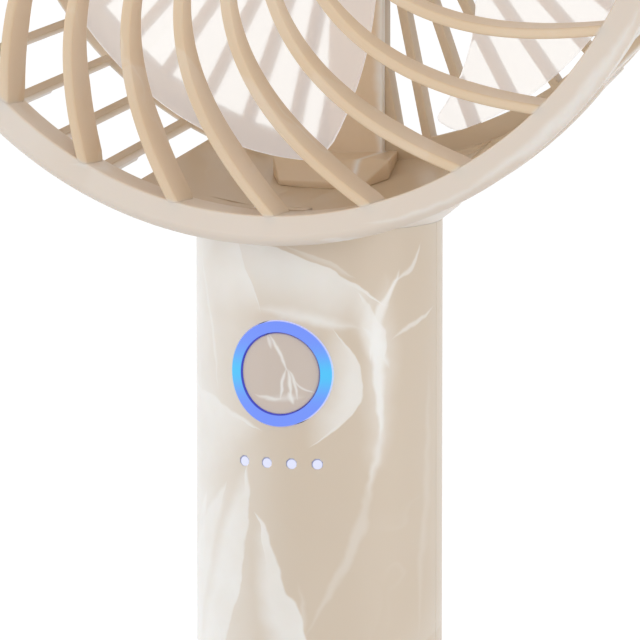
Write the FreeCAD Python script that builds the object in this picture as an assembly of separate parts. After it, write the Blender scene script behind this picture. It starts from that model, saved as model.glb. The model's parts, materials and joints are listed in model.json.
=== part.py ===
"""Handheld fan: a round guarded head on a cylindrical battery handle.

Lengths are millimetres. +Z is up, the fan blows towards -Y, and the origin is
the middle of the flat base. The head's pieces are drawn about the impeller's
axis, with depth along Y, and are then lifted to the head's height.
"""
import FreeCAD, Part
import math
import os

Vector = FreeCAD.Vector
AXIS_Y = Vector(0, 1, 0)
AXIS_Z = Vector(0, 0, 1)
FAR = 200.0            # longer than the whole fan, for half-space cutters
BITE = 0.5             # how far a moulded feature is sunk into its parent before they are fused

# ---------------------------------------------------------------- fits
slip_gap = 0.1         # a moulded piece in its seat
shaft_gap = 0.03       # the motor shaft in its bearing
rotor_gap = 0.7        # between the impeller's cup and the still motor
blade_tip_gap = 3.0    # between the blade tips and the guard's wall
button_gap = 0.08      # round the button cap and round its stem

# ---------------------------------------------------------------- handle
handle_radius = 15.0
handle_wall = 1.6
handle_top_gap = 0.1   # between the shells' tops and the head
base_cap_height = 3.0
base_plug_gap = 0.25   # between the plug's corners and the shells
neck_tube_length = 8.5
neck_tube_wall = 1.6
neck_lug_width = 6.0
neck_lug_height = 1.6
neck_lug_reach = 0.8
neck_lug_rise = 2.0    # from the tube's lower end to the lugs
collar_flare = 2.2     # how far the collar under the head stands out past the handle
collar_flare_height = 1.7
collar_bottom_height = 108.0
collar_rise = 0.6      # from the rim's lowest point up to the collar's lower edge

# ---------------------------------------------------------------- head
ring_depth = 5.9       # front ring, from its face back to the seam
seam_gap = 0.1
rim_radius = 52.1      # rear guard's mouth
ring_inset = 3.0       # from the rim in to the ring's opening
ring_crown = 0.8       # how far the ring's crown stands out past the rim
ring_face_width = 2.9
ring_bevel = 0.9
ring_tab_count = 6
ring_tab_width = 7.0
ring_tab_length = 2.4
ring_tab_thickness = 1.0
ring_tab_gap = 0.6     # at the middle of a tab, so that its corners clear the wall
wall_taper = 0.144     # radius lost per millimetre towards the back
guard_wall = 1.6
back_overhang = 2.0    # how far the guard's back lies behind the handle
back_corner = 1.5
rib_layer = 2.6        # front-to-back depth of the rear ribs

# ---------------------------------------------------------------- front grille
spiral_rib_count = 25
spiral_rib_front_width = 1.2
spiral_rib_back_width = 1.7
spiral_rib_depth = 5.5         # from the ring in to the deep radius
spiral_rib_inner_depth = 2.2   # from the shallow radius in
rib_deep_radius = 42.0
rib_shallow_radius = 24.0
dome_rise = 6.0                # how far the grille bulges forward of the ring
spiral_start = math.radians(0.83)
spiral_sweep = (-0.780, -0.593, 1.220)   # linear, square and cube terms of the rib's turn
centre_disc_radius = 15.5
rib_segments = 5
centre_disc_bevel = 1.6
centre_disc_back = 3.4         # depth of the disc behind the dome's top

# ---------------------------------------------------------------- rear grille
rear_rib_count = 46
rear_rib_width = 1.1
rear_hub_radius = 16.5
back_rim_width = 3.5           # from the slots of the back out to its edge
grille_seat_width = 1.0        # how much of that rim is on the rear grille
wall_slot_front = 3.6          # from the seam back to the wall slots
wall_slot_back = 3.4           # from the back face forward to the wall slots
floor_half_angle = 22.2        # solid wall over the handle
floor_window_angles = (13.5, 21.0)
floor_window_length = 4.6
spine_half_width = 3.4         # solid strip behind the wire duct
spine_foot_half_width = 5.6
spine_flare_radius = 32.0
saddle_half_angle = 51.0
saddle_thickness = 0.45
saddle_front = 0.9             # from the seam
saddle_length = 12.0

# ---------------------------------------------------------------- wire duct
duct_half_width = 3.6
duct_depth = 2.1
duct_crown = 0.9       # how far the middle of its front stands out past the edges
duct_roof = 0.8        # wall over the passage in the foot
duct_channel_half_width = 1.5
duct_channel_depth = 1.2
foot_front = 0.6
foot_step_height = 2.0
foot_front_half_width = 5.5
foot_half_width = 7.5
foot_shoulder_depth = 4.2
foot_tip_height = 3.5
foot_sweep_gap = 1.0           # between the foot and the sweep of the blades
foot_back_half_width = 5.2
wire_hole_width = 4.0
wire_hole_depth = 8.6

# ---------------------------------------------------------------- motor
motor_radius = 12.0
motor_length = 21.4
motor_lug_count = 4
motor_lug_width = 7.0
motor_lug_thickness = 1.5
motor_lug_height = 3.2
shaft_radius = 1.0
shaft_reach = 3.5              # in front of the motor
shaft_engagement = 6.0         # inside the can

# ---------------------------------------------------------------- impeller
blade_count = 4
blade_rear_depth = 9.3
blade_front_depth = -7.0
blade_bend = 0.42              # share of the blade's fall that is straight, the rest is curved
blade_thickness = 1.2
blade_lean_angle = 57.0        # the way the sheet's straight lines run, from straight down
blade_rear_offset = -29.4      # across the sheet's lines, where it is rearmost
blade_front_offset = 26.8      # and where it is foremost
blade_overrun = 0.08           # the sheet runs past both edges by this share
blade_rear_root_angle = 64.0   # the blade's corners, from straight down
blade_rear_tip_angle = 16.5
blade_front_tip_angle = 95.5
blade_front_root_angle = 120.0
blade_edge_radius = 31.7       # where the bowed edges are fixed half way out
blade_rear_edge_angle = 34.5
blade_front_edge_angle = 104.3
blade_corner = 2.2
hub_wall = 1.4
hub_front_wall = 2.0
hub_front_gap = 0.9            # between the motor and the inside of the hub

# ---------------------------------------------------------------- button and indicator
button_drop = 17.4             # from the collar down to the button's middle
button_radius = 4.95
button_travel = 0.5
button_ear_width = 4.0
button_ear_thickness = 0.8
light_ring_radius = 6.4
light_ring_depth = 2.5         # from its foremost point to its back
light_ring_proud = 0.3
button_inset = 0.3             # of the button's face behind the light ring's
light_leg_width = 1.6
light_leg_inside = 5.65
light_leg_outside = 6.3
indicator_drop = 10.9          # from the button's middle down to the windows
indicator_count = 4
indicator_step = 12.0          # degrees round the handle
indicator_radius = 0.65
indicator_sides = 8
indicator_bar_height = 2.0

# ---------------------------------------------------------------- boards
board_thickness = 1.2
board_set_back = 7.4           # from the handle's front surface
board_half_width = 9.4
board_top_gap = 0.6            # under the neck
board_length = 24.0
board_post_drop = 2.2          # from the board's top to its posts
board_post_spacing = 14.0
board_post_width = 3.2
switch_size = 6.0
switch_height = 3.2
switch_stem_width = 2.4
switch_stem_depth = 1.0
component_sizes = (            # across the board, along it, and out from it
    (5.0, 4.0, 1.5),           # charging chip
    (5.0, 5.0, 2.4),           # power coil
    (4.8, 5.0, 3.0))           # lead connector
component_places = (           # to the right of the middle, and down from the board's top
    (0.0, 6.8),
    (-5.5, 12.9),
    (5.0, 13.3))
led_length = 1.6
led_width = 0.8
led_height = 0.7
charge_board_height = 5.6
charge_board_thickness = 1.0
charge_board_width = 12.0
charge_board_front = 7.0       # its front edge, in front of the handle's axis
charge_board_inset = 1.7       # of its rear edge from the shell's inner face
port_width = 8.9
port_height = 3.2
port_depth = 7.4
port_shell = 0.3
port_end_steps = 4             # flats round each end of the socket
port_recess = 0.7              # socket's mouth inside the handle's surface
port_tongue_width = 6.7
port_tongue_height = 0.7
port_gap = 0.15

# ---------------------------------------------------------------- battery
cell_side_gap = 1.25           # behind the cell
cell_overlap = 1.4             # how far it reaches up behind the circuit board
cell_bottom = 11.6
cell_offset = 3.0              # behind the handle's axis, clear of the circuit board
tab_width = 6.0
tab_length = 14.0
tab_thickness = 0.2
cell_rib_width = 6.0
cell_rib_height = 3.0
cell_low_rib_height = 20.0
cell_high_rib_drop = 8.8       # from the board's lower edge
cell_pad_thickness = 0.8

# ---------------------------------------------------------------- worked out
seam_y = -(handle_radius + seam_gap)
front_y = seam_y - ring_depth
back_y = handle_radius + back_overhang
inner_back_y = back_y - rib_layer
handle_inner_radius = handle_radius - handle_wall
board_front_depth = handle_radius - board_set_back
charge_board_back = handle_inner_radius - charge_board_inset
cell_radius = handle_inner_radius - cell_offset - cell_side_gap
light_ring_face_radius = handle_radius + light_ring_proud
button_face_radius = light_ring_face_radius - button_inset
motor_front_y = inner_back_y - motor_length
spring_side_y = -(board_front_depth + switch_height)
dome_y = front_y - dome_rise
head_height = collar_bottom_height + rim_radius - collar_rise
head_place = Vector(0, 0, head_height)
ring_inner_radius = rim_radius - ring_inset
ring_crown_radius = rim_radius + ring_crown
button_height = collar_bottom_height - button_drop
indicator_height = button_height - indicator_drop
board_top = collar_bottom_height - neck_tube_length - board_top_gap
board_bottom = board_top - board_length
board_post_height = board_top - board_post_drop
cell_length = board_bottom + cell_overlap - cell_bottom
cell_rib_places = (cell_low_rib_height, board_bottom - cell_high_rib_drop)


def wall_radius(y):
    """Outer radius of the rear guard's tapering wall at depth y."""
    return rim_radius - wall_taper * (y - seam_y)


blade_tip_radius = wall_radius(blade_rear_depth) - guard_wall - blade_tip_gap
back_slot_radius = wall_radius(back_y) - back_rim_width


# ---------------------------------------------------------------- small tools
def rod_y(radius, y0, y1, x=0.0, z=0.0):
    """Round bar along Y."""
    return Part.makeCylinder(radius, y1 - y0, Vector(x, y0, z), AXIS_Y)


def rod_z(radius, z0, z1, x=0.0, y=0.0):
    """Round bar along Z."""
    return Part.makeCylinder(radius, z1 - z0, Vector(x, y, z0), AXIS_Z)


def block(x0, x1, y0, y1, z0, z1):
    """Rectangular block between two corners."""
    return Part.makeBox(x1 - x0, y1 - y0, z1 - z0, Vector(x0, y0, z0))


def outline(start, *steps):
    """Closed wire through points; a step is an end point, or a pair (middle, end) for an arc."""
    edges = []
    here = start
    for step in list(steps) + [start]:
        if isinstance(step, tuple):
            edges.append(Part.Arc(here, step[0], step[1]).toShape())
            here = step[1]
        elif (step - here).Length > 1e-7:
            edges.append(Part.LineSegment(here, step).toShape())
            here = step
    return Part.Wire(edges)


def turned_y(start, *steps):
    """Solid turned about Y from a profile of (radius, depth) points."""
    def point(pair):
        return Vector(pair[0], pair[1], 0)
    lifted = [(point(s[0]), point(s[1])) if isinstance(s[0], tuple) else point(s) for s in steps]
    face = Part.Face(outline(point(start), *lifted))
    return face.revolve(Vector(0, 0, 0), AXIS_Y, 360)


def turned_z(start, *steps):
    """Solid turned about Z from a profile of (radius, height) points."""
    def point(pair):
        return Vector(pair[0], 0, pair[1])
    lifted = [(point(s[0]), point(s[1])) if isinstance(s[0], tuple) else point(s) for s in steps]
    face = Part.Face(outline(point(start), *lifted))
    return face.revolve(Vector(0, 0, 0), AXIS_Z, 360)


def prism_y(points, y0, y1):
    """Solid of a flat outline of (x, z) points, drawn out from y0 to y1."""
    corners = [Vector(x, y0, z) for x, z in points]
    return Part.Face(outline(*corners)).extrude(Vector(0, y1 - y0, 0))


def prism_x(points, half_width):
    """Solid of a side outline of (y, z) points, drawn out evenly to both sides."""
    corners = [Vector(-half_width, y, z) for y, z in points]
    return Part.Face(outline(*corners)).extrude(Vector(2 * half_width, 0, 0))


def at_angle(radius, angle):
    """(x, z) at an angle from straight down, positive towards +X."""
    return radius * math.sin(angle), -radius * math.cos(angle)


def turned_copies(shape, count, start=0.0):
    """Copies of a shape spread evenly round the impeller's axis."""
    copies = []
    for index in range(count):
        copy = shape.copy()
        copy.rotate(Vector(0, 0, 0), AXIS_Y, -(start + 360.0 * index / count))
        copies.append(copy)
    return copies


def joined(first, others):
    """One clean solid from overlapping solids."""
    result = first.multiFuse(list(others)).removeSplitter()
    return result.Solids[0] if len(result.Solids) == 1 else result


def carved(shape, cutters):
    """Shape with the cutters taken away."""
    result = shape.cut(list(cutters)).removeSplitter()
    return result.Solids[0] if len(result.Solids) == 1 else result


def lifted(shape):
    """A head piece moved from the impeller's axis to its height above the base."""
    moved = shape.copy()
    moved.translate(head_place)
    return moved


# ---------------------------------------------------------------- front guard
def dome_depth(radius):
    """Depth of the shallow dome that the ribs' front edges follow, from the ring inwards."""
    sphere = (ring_inner_radius ** 2 + dome_rise ** 2) / (2 * dome_rise)
    return dome_y + sphere - math.sqrt(sphere ** 2 - radius ** 2)


def spiral_turn(radius):
    """Angle of a rib's middle line at a given radius, from straight below the axis."""
    share = (ring_inner_radius - radius) / ring_inner_radius
    first, second, third = spiral_sweep
    return spiral_start + first * share + second * share ** 2 + third * share ** 3


def rib_section(radius):
    """Four-cornered section of a spiral rib, square to its middle line."""
    x, z = at_angle(radius, spiral_turn(radius))
    ahead_x, ahead_z = at_angle(radius + BITE, spiral_turn(radius + BITE))
    along = Vector(ahead_x - x, 0, ahead_z - z).normalize()
    across = Vector(along.z, 0, -along.x)
    front = Vector(x, dome_depth(radius), z)
    back = front + AXIS_Y * (spiral_rib_depth + slip_gap)
    front_half = across * (spiral_rib_front_width / 2)
    back_half = across * (spiral_rib_back_width / 2)
    return outline(front + front_half, front - front_half, back - back_half, back + back_half)


def rib_back(inner, outer):
    """Cutter for the back of a rib, with flats that run square to the rib's chord."""
    def middle(radius):
        x, z = at_angle(radius, spiral_turn(radius))
        return Vector(x, 0, z)
    chord = (middle(outer) - middle(inner)).normalize()
    square = chord.cross(AXIS_Y)
    stations = (
        (inner - BITE, spiral_rib_inner_depth),
        (rib_shallow_radius, spiral_rib_inner_depth),
        (rib_deep_radius, spiral_rib_depth),
        (outer + BITE, spiral_rib_depth))
    profile = [chord * middle(radius).dot(chord) + AXIS_Y * (dome_depth(radius) + depth)
               - square * FAR for radius, depth in stations]
    for end in (profile[-1], profile[0]):
        profile.append(Vector(end.x, seam_y, end.z))
    return Part.Face(outline(*profile)).extrude(square * 2 * FAR)


def spiral_rib():
    """One drafted spiral rib that follows the dome, shallower towards the middle."""
    inner = centre_disc_radius - 2 * BITE
    outer = ring_inner_radius + 2 * BITE
    step = (outer - inner) / rib_segments
    sections = [rib_section(inner + step * index) for index in range(rib_segments + 1)]
    return Part.makeLoft(sections, True, True).cut(rib_back(inner, outer))


def front_ring():
    """Outer ring with a flat face and a bevelled crown."""
    return turned_y(
        (ring_inner_radius, front_y),
        (ring_inner_radius + ring_face_width, front_y),
        (ring_crown_radius, front_y + ring_bevel),
        (rim_radius, seam_y - seam_gap),
        (ring_inner_radius, seam_y - seam_gap))


def ring_tabs():
    """Tabs behind the ring that hold it inside the rear guard's mouth."""
    outer = rim_radius - guard_wall - ring_tab_gap
    low = -ring_tab_width / 2
    tab = block(-outer, -outer + ring_tab_thickness, seam_y - seam_gap - BITE,
                seam_y + ring_tab_length, low, -low)
    return turned_copies(tab, ring_tab_count, 180.0 / ring_tab_count)


def grille_centre():
    """Bevelled disc at the middle of the grille."""
    return turned_y(
        (0, dome_y),
        (centre_disc_radius - centre_disc_bevel, dome_y),
        (centre_disc_radius, dome_depth(centre_disc_radius)),
        (centre_disc_radius, dome_y + centre_disc_back),
        (0, dome_y + centre_disc_back))


def front_guard():
    ribs = turned_copies(spiral_rib(), spiral_rib_count)
    return lifted(joined(front_ring(), ribs + ring_tabs() + [grille_centre()]))


# ---------------------------------------------------------------- rear guard
def guard_bowl():
    """Tapering wall and flat back, before it is slotted."""
    bend = wall_radius(back_y - back_corner)
    return turned_y(
        (rim_radius, seam_y),
        (bend, back_y - back_corner),
        (bend - back_corner, back_y),
        (0, back_y),
        (0, inner_back_y),
        (wall_radius(inner_back_y) - guard_wall, inner_back_y),
        (rim_radius - guard_wall, seam_y))


def head_inside():
    """The hollow of the guard, used to keep other features out of it."""
    return turned_y(
        (0, seam_y - FAR),
        (wall_radius(seam_y - FAR) - guard_wall, seam_y - FAR),
        (wall_radius(inner_back_y) - guard_wall, inner_back_y),
        (0, inner_back_y))


def head_envelope(gap):
    """The guard's outer form, grown by a gap, used to trim the handle's top."""
    return turned_y(
        (0, seam_y - FAR),
        (wall_radius(seam_y - FAR) + gap, seam_y - FAR),
        (wall_radius(back_y) + gap, back_y),
        (0, back_y))


def slot_outline(index, inner, outer):
    """Corners of one slot between two straight ribs, both as wide all along."""
    pitch = 2 * math.pi / rear_rib_count
    start, end = (index - 0.5) * pitch, (index + 0.5) * pitch
    half = rear_rib_width / 2
    corners = []
    for radius in (inner, outer):
        lean = math.asin(half / radius)
        corners.append((at_angle(radius, start + lean), at_angle(radius, end - lean)))
    (low_a, low_b), (high_a, high_b) = corners
    return [low_a, low_b, high_b, high_a]


def spine():
    """Solid strip of the back behind the wire duct, wider at its foot."""
    foot = -FAR
    return prism_y([
        (-spine_half_width, -rear_hub_radius + BITE),
        (-spine_half_width, -spine_flare_radius),
        (-spine_foot_half_width, -back_slot_radius),
        (-spine_foot_half_width, foot),
        (spine_foot_half_width, foot),
        (spine_foot_half_width, -back_slot_radius),
        (spine_half_width, -spine_flare_radius),
        (spine_half_width, -rear_hub_radius + BITE)], inner_back_y - 2 * BITE, back_y + BITE)


def back_slots():
    """Radial slots through the flat back, except behind the duct."""
    slots = []
    solid_strip = spine()
    for index in range(rear_rib_count):
        if index == 0:
            continue
        points = slot_outline(index, rear_hub_radius, back_slot_radius)
        slot = prism_y(points, inner_back_y - BITE, back_y + BITE)
        if index in (1, rear_rib_count - 1):
            slot = slot.cut(solid_strip)
        slots.append(slot)
    return slots


def wall_slot(low_angle, high_angle, y0, y1):
    """Cutter for an opening in the wall between two angles from straight down, in degrees."""
    outer = rim_radius + ring_face_width
    low, high = math.radians(low_angle), math.radians(high_angle)
    return prism_y([at_angle(back_slot_radius, low), at_angle(back_slot_radius, high),
                    at_angle(outer, high), at_angle(outer, low)], y0, y1)


def wall_slots():
    """Openings in the tapering wall, in line with those of the back, except over the handle."""
    front = seam_y + wall_slot_front
    back = back_y - wall_slot_back
    pitch = 360.0 / rear_rib_count
    lean = math.degrees(rear_rib_width / 2 / wall_radius(back))
    slots = []
    for index in range(rear_rib_count):
        low = (index - 0.5) * pitch + lean
        high = (index + 0.5) * pitch - lean
        low = max(low, floor_half_angle)
        high = min(high, 360.0 - floor_half_angle)
        if high - low > pitch / 4:
            slots.append(wall_slot(low, high, front, back))
    return slots


def floor_windows():
    """Two short windows behind the solid floor, one each side of the duct's foot."""
    low, high = floor_window_angles
    back = back_y - wall_slot_back
    return [wall_slot(low, high, back - floor_window_length, back),
            wall_slot(-high, -low, back - floor_window_length, back)]


def wedge(low_angle, high_angle, y0, y1):
    """Sector about the impeller's axis between two angles from straight down, in degrees."""
    low, high = math.radians(low_angle), math.radians(high_angle)
    middle = (low + high) / 2
    points = [(0, 0)] + [at_angle(FAR, angle) for angle in (low, middle, high)]
    return prism_y(points, y0, y1)


def guard_saddle():
    """Raised band round the lower part of the wall."""
    y0 = seam_y + saddle_front
    y1 = y0 + saddle_length
    band = turned_y(
        (wall_radius(y0) - BITE, y0),
        (wall_radius(y0) + saddle_thickness, y0),
        (wall_radius(y1) + saddle_thickness, y1),
        (wall_radius(y1) - BITE, y1))
    return band.common(wedge(-saddle_half_angle, saddle_half_angle, y0 - BITE, y1 + BITE))


def neck():
    """Flared collar and the hollow stub that the handle's two shells clamp."""
    bottom = collar_bottom_height - head_height
    tube_outer = handle_inner_radius - slip_gap
    flared = handle_radius + collar_flare
    low = bottom - neck_tube_length
    top = bottom + handle_radius / 2
    form = turned_z(
        (tube_outer - neck_tube_wall, low),
        (tube_outer, low),
        (tube_outer, bottom),
        (handle_radius, bottom),
        (flared, bottom + collar_flare_height),
        (flared, top),
        (0, top),
        (0, bottom),
        (tube_outer - neck_tube_wall, bottom))
    in_front = block(-FAR, FAR, seam_y - FAR, seam_y, -FAR, FAR)
    behind = block(-FAR, FAR, back_y, back_y + FAR, -FAR, FAR)
    lug = neck_lug(0.0)
    lug.translate(Vector(0, 0, -head_height))
    return form.cut([in_front, behind, head_inside()]).fuse(lug)


def neck_lug(gap):
    """Bar whose two ends stand out of the neck as snap lugs, grown by a gap for their pockets."""
    reach = handle_inner_radius + neck_lug_reach + gap
    low = collar_bottom_height - neck_tube_length + neck_lug_rise - gap
    high = low + neck_lug_height + 2 * gap
    half = neck_lug_width / 2 + gap
    bar = block(-half, half, -reach, reach, low, high)
    middle = handle_inner_radius - neck_tube_wall
    return bar.cut(block(-half - BITE, half + BITE, -middle, middle, low - BITE, high + BITE))


def motor_lugs():
    """Upright lugs on the back's hub, round the motor's end."""
    inner = motor_radius + slip_gap
    half = motor_lug_width / 2
    lug = block(-half, half, inner_back_y - motor_lug_height, inner_back_y + BITE,
                -inner - motor_lug_thickness, -inner)
    return turned_copies(lug, motor_lug_count, 180.0 / motor_lug_count)


def grille_field():
    """Many-sided middle of the back, one side to each rib, that the rear grille fills."""
    corner = back_slot_radius + grille_seat_width
    turn = 2 * math.pi / rear_rib_count
    points = [at_angle(corner, index * turn) for index in range(rear_rib_count)]
    return prism_y(points, inner_back_y - BITE, back_y + BITE)


def rear_grille():
    """Slotted middle of the back, with the motor's lugs."""
    field = guard_bowl().common(grille_field()).cut(back_slots())
    return lifted(joined(field, motor_lugs()))


def rear_guard():
    """Slotted wall round the rear grille, with the saddle and the neck."""
    wall = guard_bowl().cut(wall_slots() + floor_windows())
    body = joined(wall, [guard_saddle(), neck()])
    half = wire_hole_width / 2
    wire_hole = block(-half, half, wire_hole_depth - half, wire_hole_depth + half,
                      -FAR, -back_slot_radius)
    return lifted(carved(body, [grille_field(), wire_hole]))


# ---------------------------------------------------------------- wire duct
def duct_foot():
    """Cowl over the wire hole, hollowed along the sweep of the blades."""
    floor = -(wall_radius(foot_front) - guard_wall)
    low = floor - 2 * foot_step_height
    step = floor + foot_step_height / 2
    side = prism_x([
        (foot_front, low),
        (foot_front, step),
        (foot_shoulder_depth, floor + foot_tip_height),
        (inner_back_y, floor + foot_tip_height),
        (inner_back_y, low)], foot_half_width)
    plan = Part.Face(outline(
        Vector(-foot_front_half_width, foot_front, low),
        Vector(foot_front_half_width, foot_front, low),
        Vector(foot_half_width, foot_shoulder_depth, low),
        Vector(foot_back_half_width, inner_back_y, low),
        Vector(-foot_back_half_width, inner_back_y, low),
        Vector(-foot_half_width, foot_shoulder_depth, low)))
    sweep = rod_y(blade_tip_radius + foot_sweep_gap, foot_front - BITE, inner_back_y + BITE)
    return side.common(plan.extrude(Vector(0, 0, FAR))).cut(sweep)


def duct_column():
    """Round-fronted column from the motor's cup to the foot."""
    front = inner_back_y - duct_depth
    top = -(motor_radius + slip_gap)
    low = -(blade_tip_radius + foot_sweep_gap + foot_step_height)
    edge = front + duct_crown
    section = Part.Face(outline(
        Vector(-duct_half_width, inner_back_y, low),
        Vector(-duct_half_width, edge, low),
        (Vector(0, front, low), Vector(duct_half_width, edge, low)),
        Vector(duct_half_width, inner_back_y, low)))
    return section.extrude(Vector(0, 0, top - low))


def wire_duct():
    """Column and foot in one moulding, channelled behind for the motor's leads."""
    body = joined(duct_column(), [duct_foot()])
    grown_bowl = guard_bowl_floor()
    half = duct_channel_half_width
    channel = block(-half, half, inner_back_y - duct_channel_depth, inner_back_y + BITE, -FAR, 0)
    ceiling = -(blade_tip_radius + foot_sweep_gap + duct_roof)
    passage = block(-half, half, wire_hole_depth - wire_hole_width / 2, inner_back_y + BITE,
                    -FAR, ceiling)
    return lifted(carved(body, [grown_bowl, channel, passage]))


def guard_bowl_floor():
    """The guard's wall as a cutter, so that the foot sits on its inner face."""
    return turned_y(
        (wall_radius(seam_y) - guard_wall, seam_y),
        (wall_radius(inner_back_y) - guard_wall, inner_back_y),
        (wall_radius(inner_back_y) - guard_wall, back_y),
        (FAR, back_y),
        (FAR, seam_y))


# ---------------------------------------------------------------- motor
def motor_can():
    """Round motor, bored in front for its shaft."""
    bore = rod_y(shaft_radius + shaft_gap, motor_front_y - BITE,
                 motor_front_y + shaft_engagement + shaft_gap)
    return lifted(rod_y(motor_radius, motor_front_y, inner_back_y).cut(bore))


def motor_shaft():
    """Steel shaft from inside the motor into the impeller's hub."""
    return lifted(rod_y(shaft_radius, motor_front_y - shaft_reach,
                        motor_front_y + shaft_engagement))


# ---------------------------------------------------------------- impeller
hub_inner_radius = motor_radius + rotor_gap
hub_outer_radius = hub_inner_radius + hub_wall
hub_inside_front_y = motor_front_y - hub_front_gap
hub_front_y = hub_inside_front_y - hub_front_wall


def sheet_point(share, side):
    """Point on a face of the blade's sheet, from its rear edge (0) to its front edge (1)."""
    lean = math.radians(blade_lean_angle)
    across = Vector(math.cos(lean), 0, math.sin(lean))
    fall = blade_bend * share + (1 - blade_bend) * share ** 2
    depth = blade_rear_depth + (blade_front_depth - blade_rear_depth) * fall
    place = blade_rear_offset + (blade_front_offset - blade_rear_offset) * share
    return across * place + Vector(0, depth + side * blade_thickness / 2, 0)


def blade_sheet():
    """Sheet bent to an arc, low at the blade's rear edge and high at its front edge."""
    lean = math.radians(blade_lean_angle)
    low, high = -blade_overrun, 1 + blade_overrun
    rear_low, rear_mid, rear_high = [sheet_point(share, 1) for share in (low, 0.5, high)]
    face_low, face_mid, face_high = [sheet_point(share, -1) for share in (low, 0.5, high)]
    section = Part.Face(outline(rear_low, (rear_mid, rear_high), face_high, (face_mid, face_low)))
    return section.extrude(Vector(math.sin(lean), 0, -math.cos(lean)) * FAR)


def blade_plan():
    """Outline of a blade seen along the axis, drawn out along the axis."""
    tip = blade_tip_radius
    root = hub_outer_radius - hub_wall / 2
    rear_root = at_angle(root, math.radians(blade_rear_root_angle))
    rear_tip = at_angle(tip - blade_corner, math.radians(blade_rear_tip_angle))
    front_tip = at_angle(tip - blade_corner, math.radians(blade_front_tip_angle))
    front_root = at_angle(root, math.radians(blade_front_root_angle))
    turn = math.degrees(blade_corner / tip)
    first = at_angle(tip, math.radians(blade_rear_tip_angle + turn))
    crown = at_angle(tip, math.radians((blade_rear_tip_angle + blade_front_tip_angle) / 2))
    last = at_angle(tip, math.radians(blade_front_tip_angle - turn))
    rear_edge = at_angle(blade_edge_radius, math.radians(blade_rear_edge_angle))
    front_edge = at_angle(blade_edge_radius, math.radians(blade_front_edge_angle))

    def flat(pair):
        return Vector(pair[0], -FAR / 2, pair[1])
    face = Part.Face(outline(flat(rear_root), (flat(rear_edge), flat(rear_tip)), flat(first),
                             (flat(crown), flat(last)), flat(front_tip),
                             (flat(front_edge), flat(front_root))))
    return face.extrude(Vector(0, FAR, 0))


def impeller():
    """Cup-shaped hub over the motor, with broad pitched blades."""
    hub = turned_y(
        (shaft_radius, hub_front_y),
        (hub_outer_radius, hub_front_y),
        (hub_outer_radius, blade_rear_depth),
        (hub_inner_radius, blade_rear_depth),
        (hub_inner_radius, hub_inside_front_y),
        (shaft_radius, hub_inside_front_y))
    core = rod_y(hub_outer_radius - hub_wall / 2, -FAR, FAR)
    blade = blade_sheet().common(blade_plan()).cut(core)
    return lifted(joined(hub, turned_copies(blade, blade_count)))


# ---------------------------------------------------------------- handle
def handle_tube():
    """Both shells before they are parted, trimmed under the head."""
    tube = rod_z(handle_radius, base_cap_height, collar_bottom_height - handle_top_gap)
    bore = rod_z(handle_inner_radius, base_cap_height - BITE, head_height)
    return tube.cut([bore, neck_lug(slip_gap), lifted(head_envelope(saddle_thickness + handle_top_gap))])


def cell_ribs(front):
    """Upright webs inside a shell that hold the cell from the front or from behind."""
    wall = handle_inner_radius + BITE
    if front:
        y0, y1 = -wall, cell_offset - cell_radius - cell_pad_thickness
    else:
        y0, y1 = cell_offset + cell_radius + slip_gap, wall
    half_width = cell_rib_width / 2
    return [block(-half_width, half_width, y0, y1, height, height + cell_rib_height)
            for height in cell_rib_places]


def half(shape, front):
    """The front or rear half of a handle piece, split through its axis."""
    keep = block(-FAR, FAR, -FAR, 0, -FAR, FAR) if front else block(-FAR, FAR, 0, FAR, -FAR, FAR)
    return shape.common(keep)


def board_posts():
    """Square posts behind the front shell that the circuit board is fixed to."""
    half = board_post_width / 2
    outside = rod_z(handle_inner_radius + BITE, board_bottom, collar_bottom_height)
    posts = []
    for side in (-1, 1):
        x = side * board_post_spacing / 2
        post = block(x - half, x + half, -handle_radius, -board_front_depth,
                     board_post_height - half, board_post_height + half)
        posts.append(post.common(outside))
    return posts


def handle_front_shell():
    """Front half of the handle, open for the light ring and the indicator pins."""
    shell = joined(half(handle_tube(), True), cell_ribs(True) + board_posts())
    cuts = [rod_y(light_ring_radius + slip_gap, -FAR, -board_front_depth, z=button_height)]
    for x in indicator_places():
        cuts.append(indicator_pin(x, indicator_radius + slip_gap / 2, -FAR, -board_front_depth))
    return carved(shell, cuts)


def handle_rear_shell():
    """Rear half of the handle, open at the foot for the charging socket."""
    shell = joined(half(handle_tube(), False), cell_ribs(False))
    half_width = port_width / 2 + port_gap
    low = port_bottom - port_gap
    high = port_bottom + port_height + port_gap
    opening = port_prism(half_width, low, high, 0, handle_radius + BITE)
    return carved(shell, [opening])


def port_prism(half_width, low, high, y0, y1):
    """Long hole with bevelled ends, along Y, in the form of the charging socket's mouth."""
    radius = (high - low) / 2
    middle = (low + high) / 2
    right = []
    for step in range(port_end_steps + 1):
        angle = math.pi * (step / port_end_steps - 0.5)
        right.append((half_width - radius + radius * math.cos(angle),
                      middle + radius * math.sin(angle)))
    left = [(-x, 2 * middle - z) for x, z in right]
    return prism_y(right + left, y0, y1)


def base_cap():
    """Flat-bottomed cap with a square plug that keeps the two shells together."""
    cap = rod_z(handle_radius, 0, base_cap_height - slip_gap / 2)
    half = (handle_inner_radius - base_plug_gap) / math.sqrt(2)
    plug = block(-half, half, -half, half, base_cap_height - BITE, charge_board_height)
    return joined(cap, [plug])


# ---------------------------------------------------------------- button and lights
def indicator_places():
    """X of each indicator window, evenly stepped round the handle's front."""
    first = -(indicator_count - 1) / 2
    return [handle_radius * math.sin(math.radians((first + i) * indicator_step))
            for i in range(indicator_count)]


def curved_bar(radius, face_radius, back):
    """Round bar about the button's axis, whose front follows the handle's curve."""
    bar = rod_y(radius, -face_radius - BITE, back, z=button_height)
    reach = radius + BITE
    return bar.common(rod_z(face_radius, button_height - reach, button_height + reach))


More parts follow.
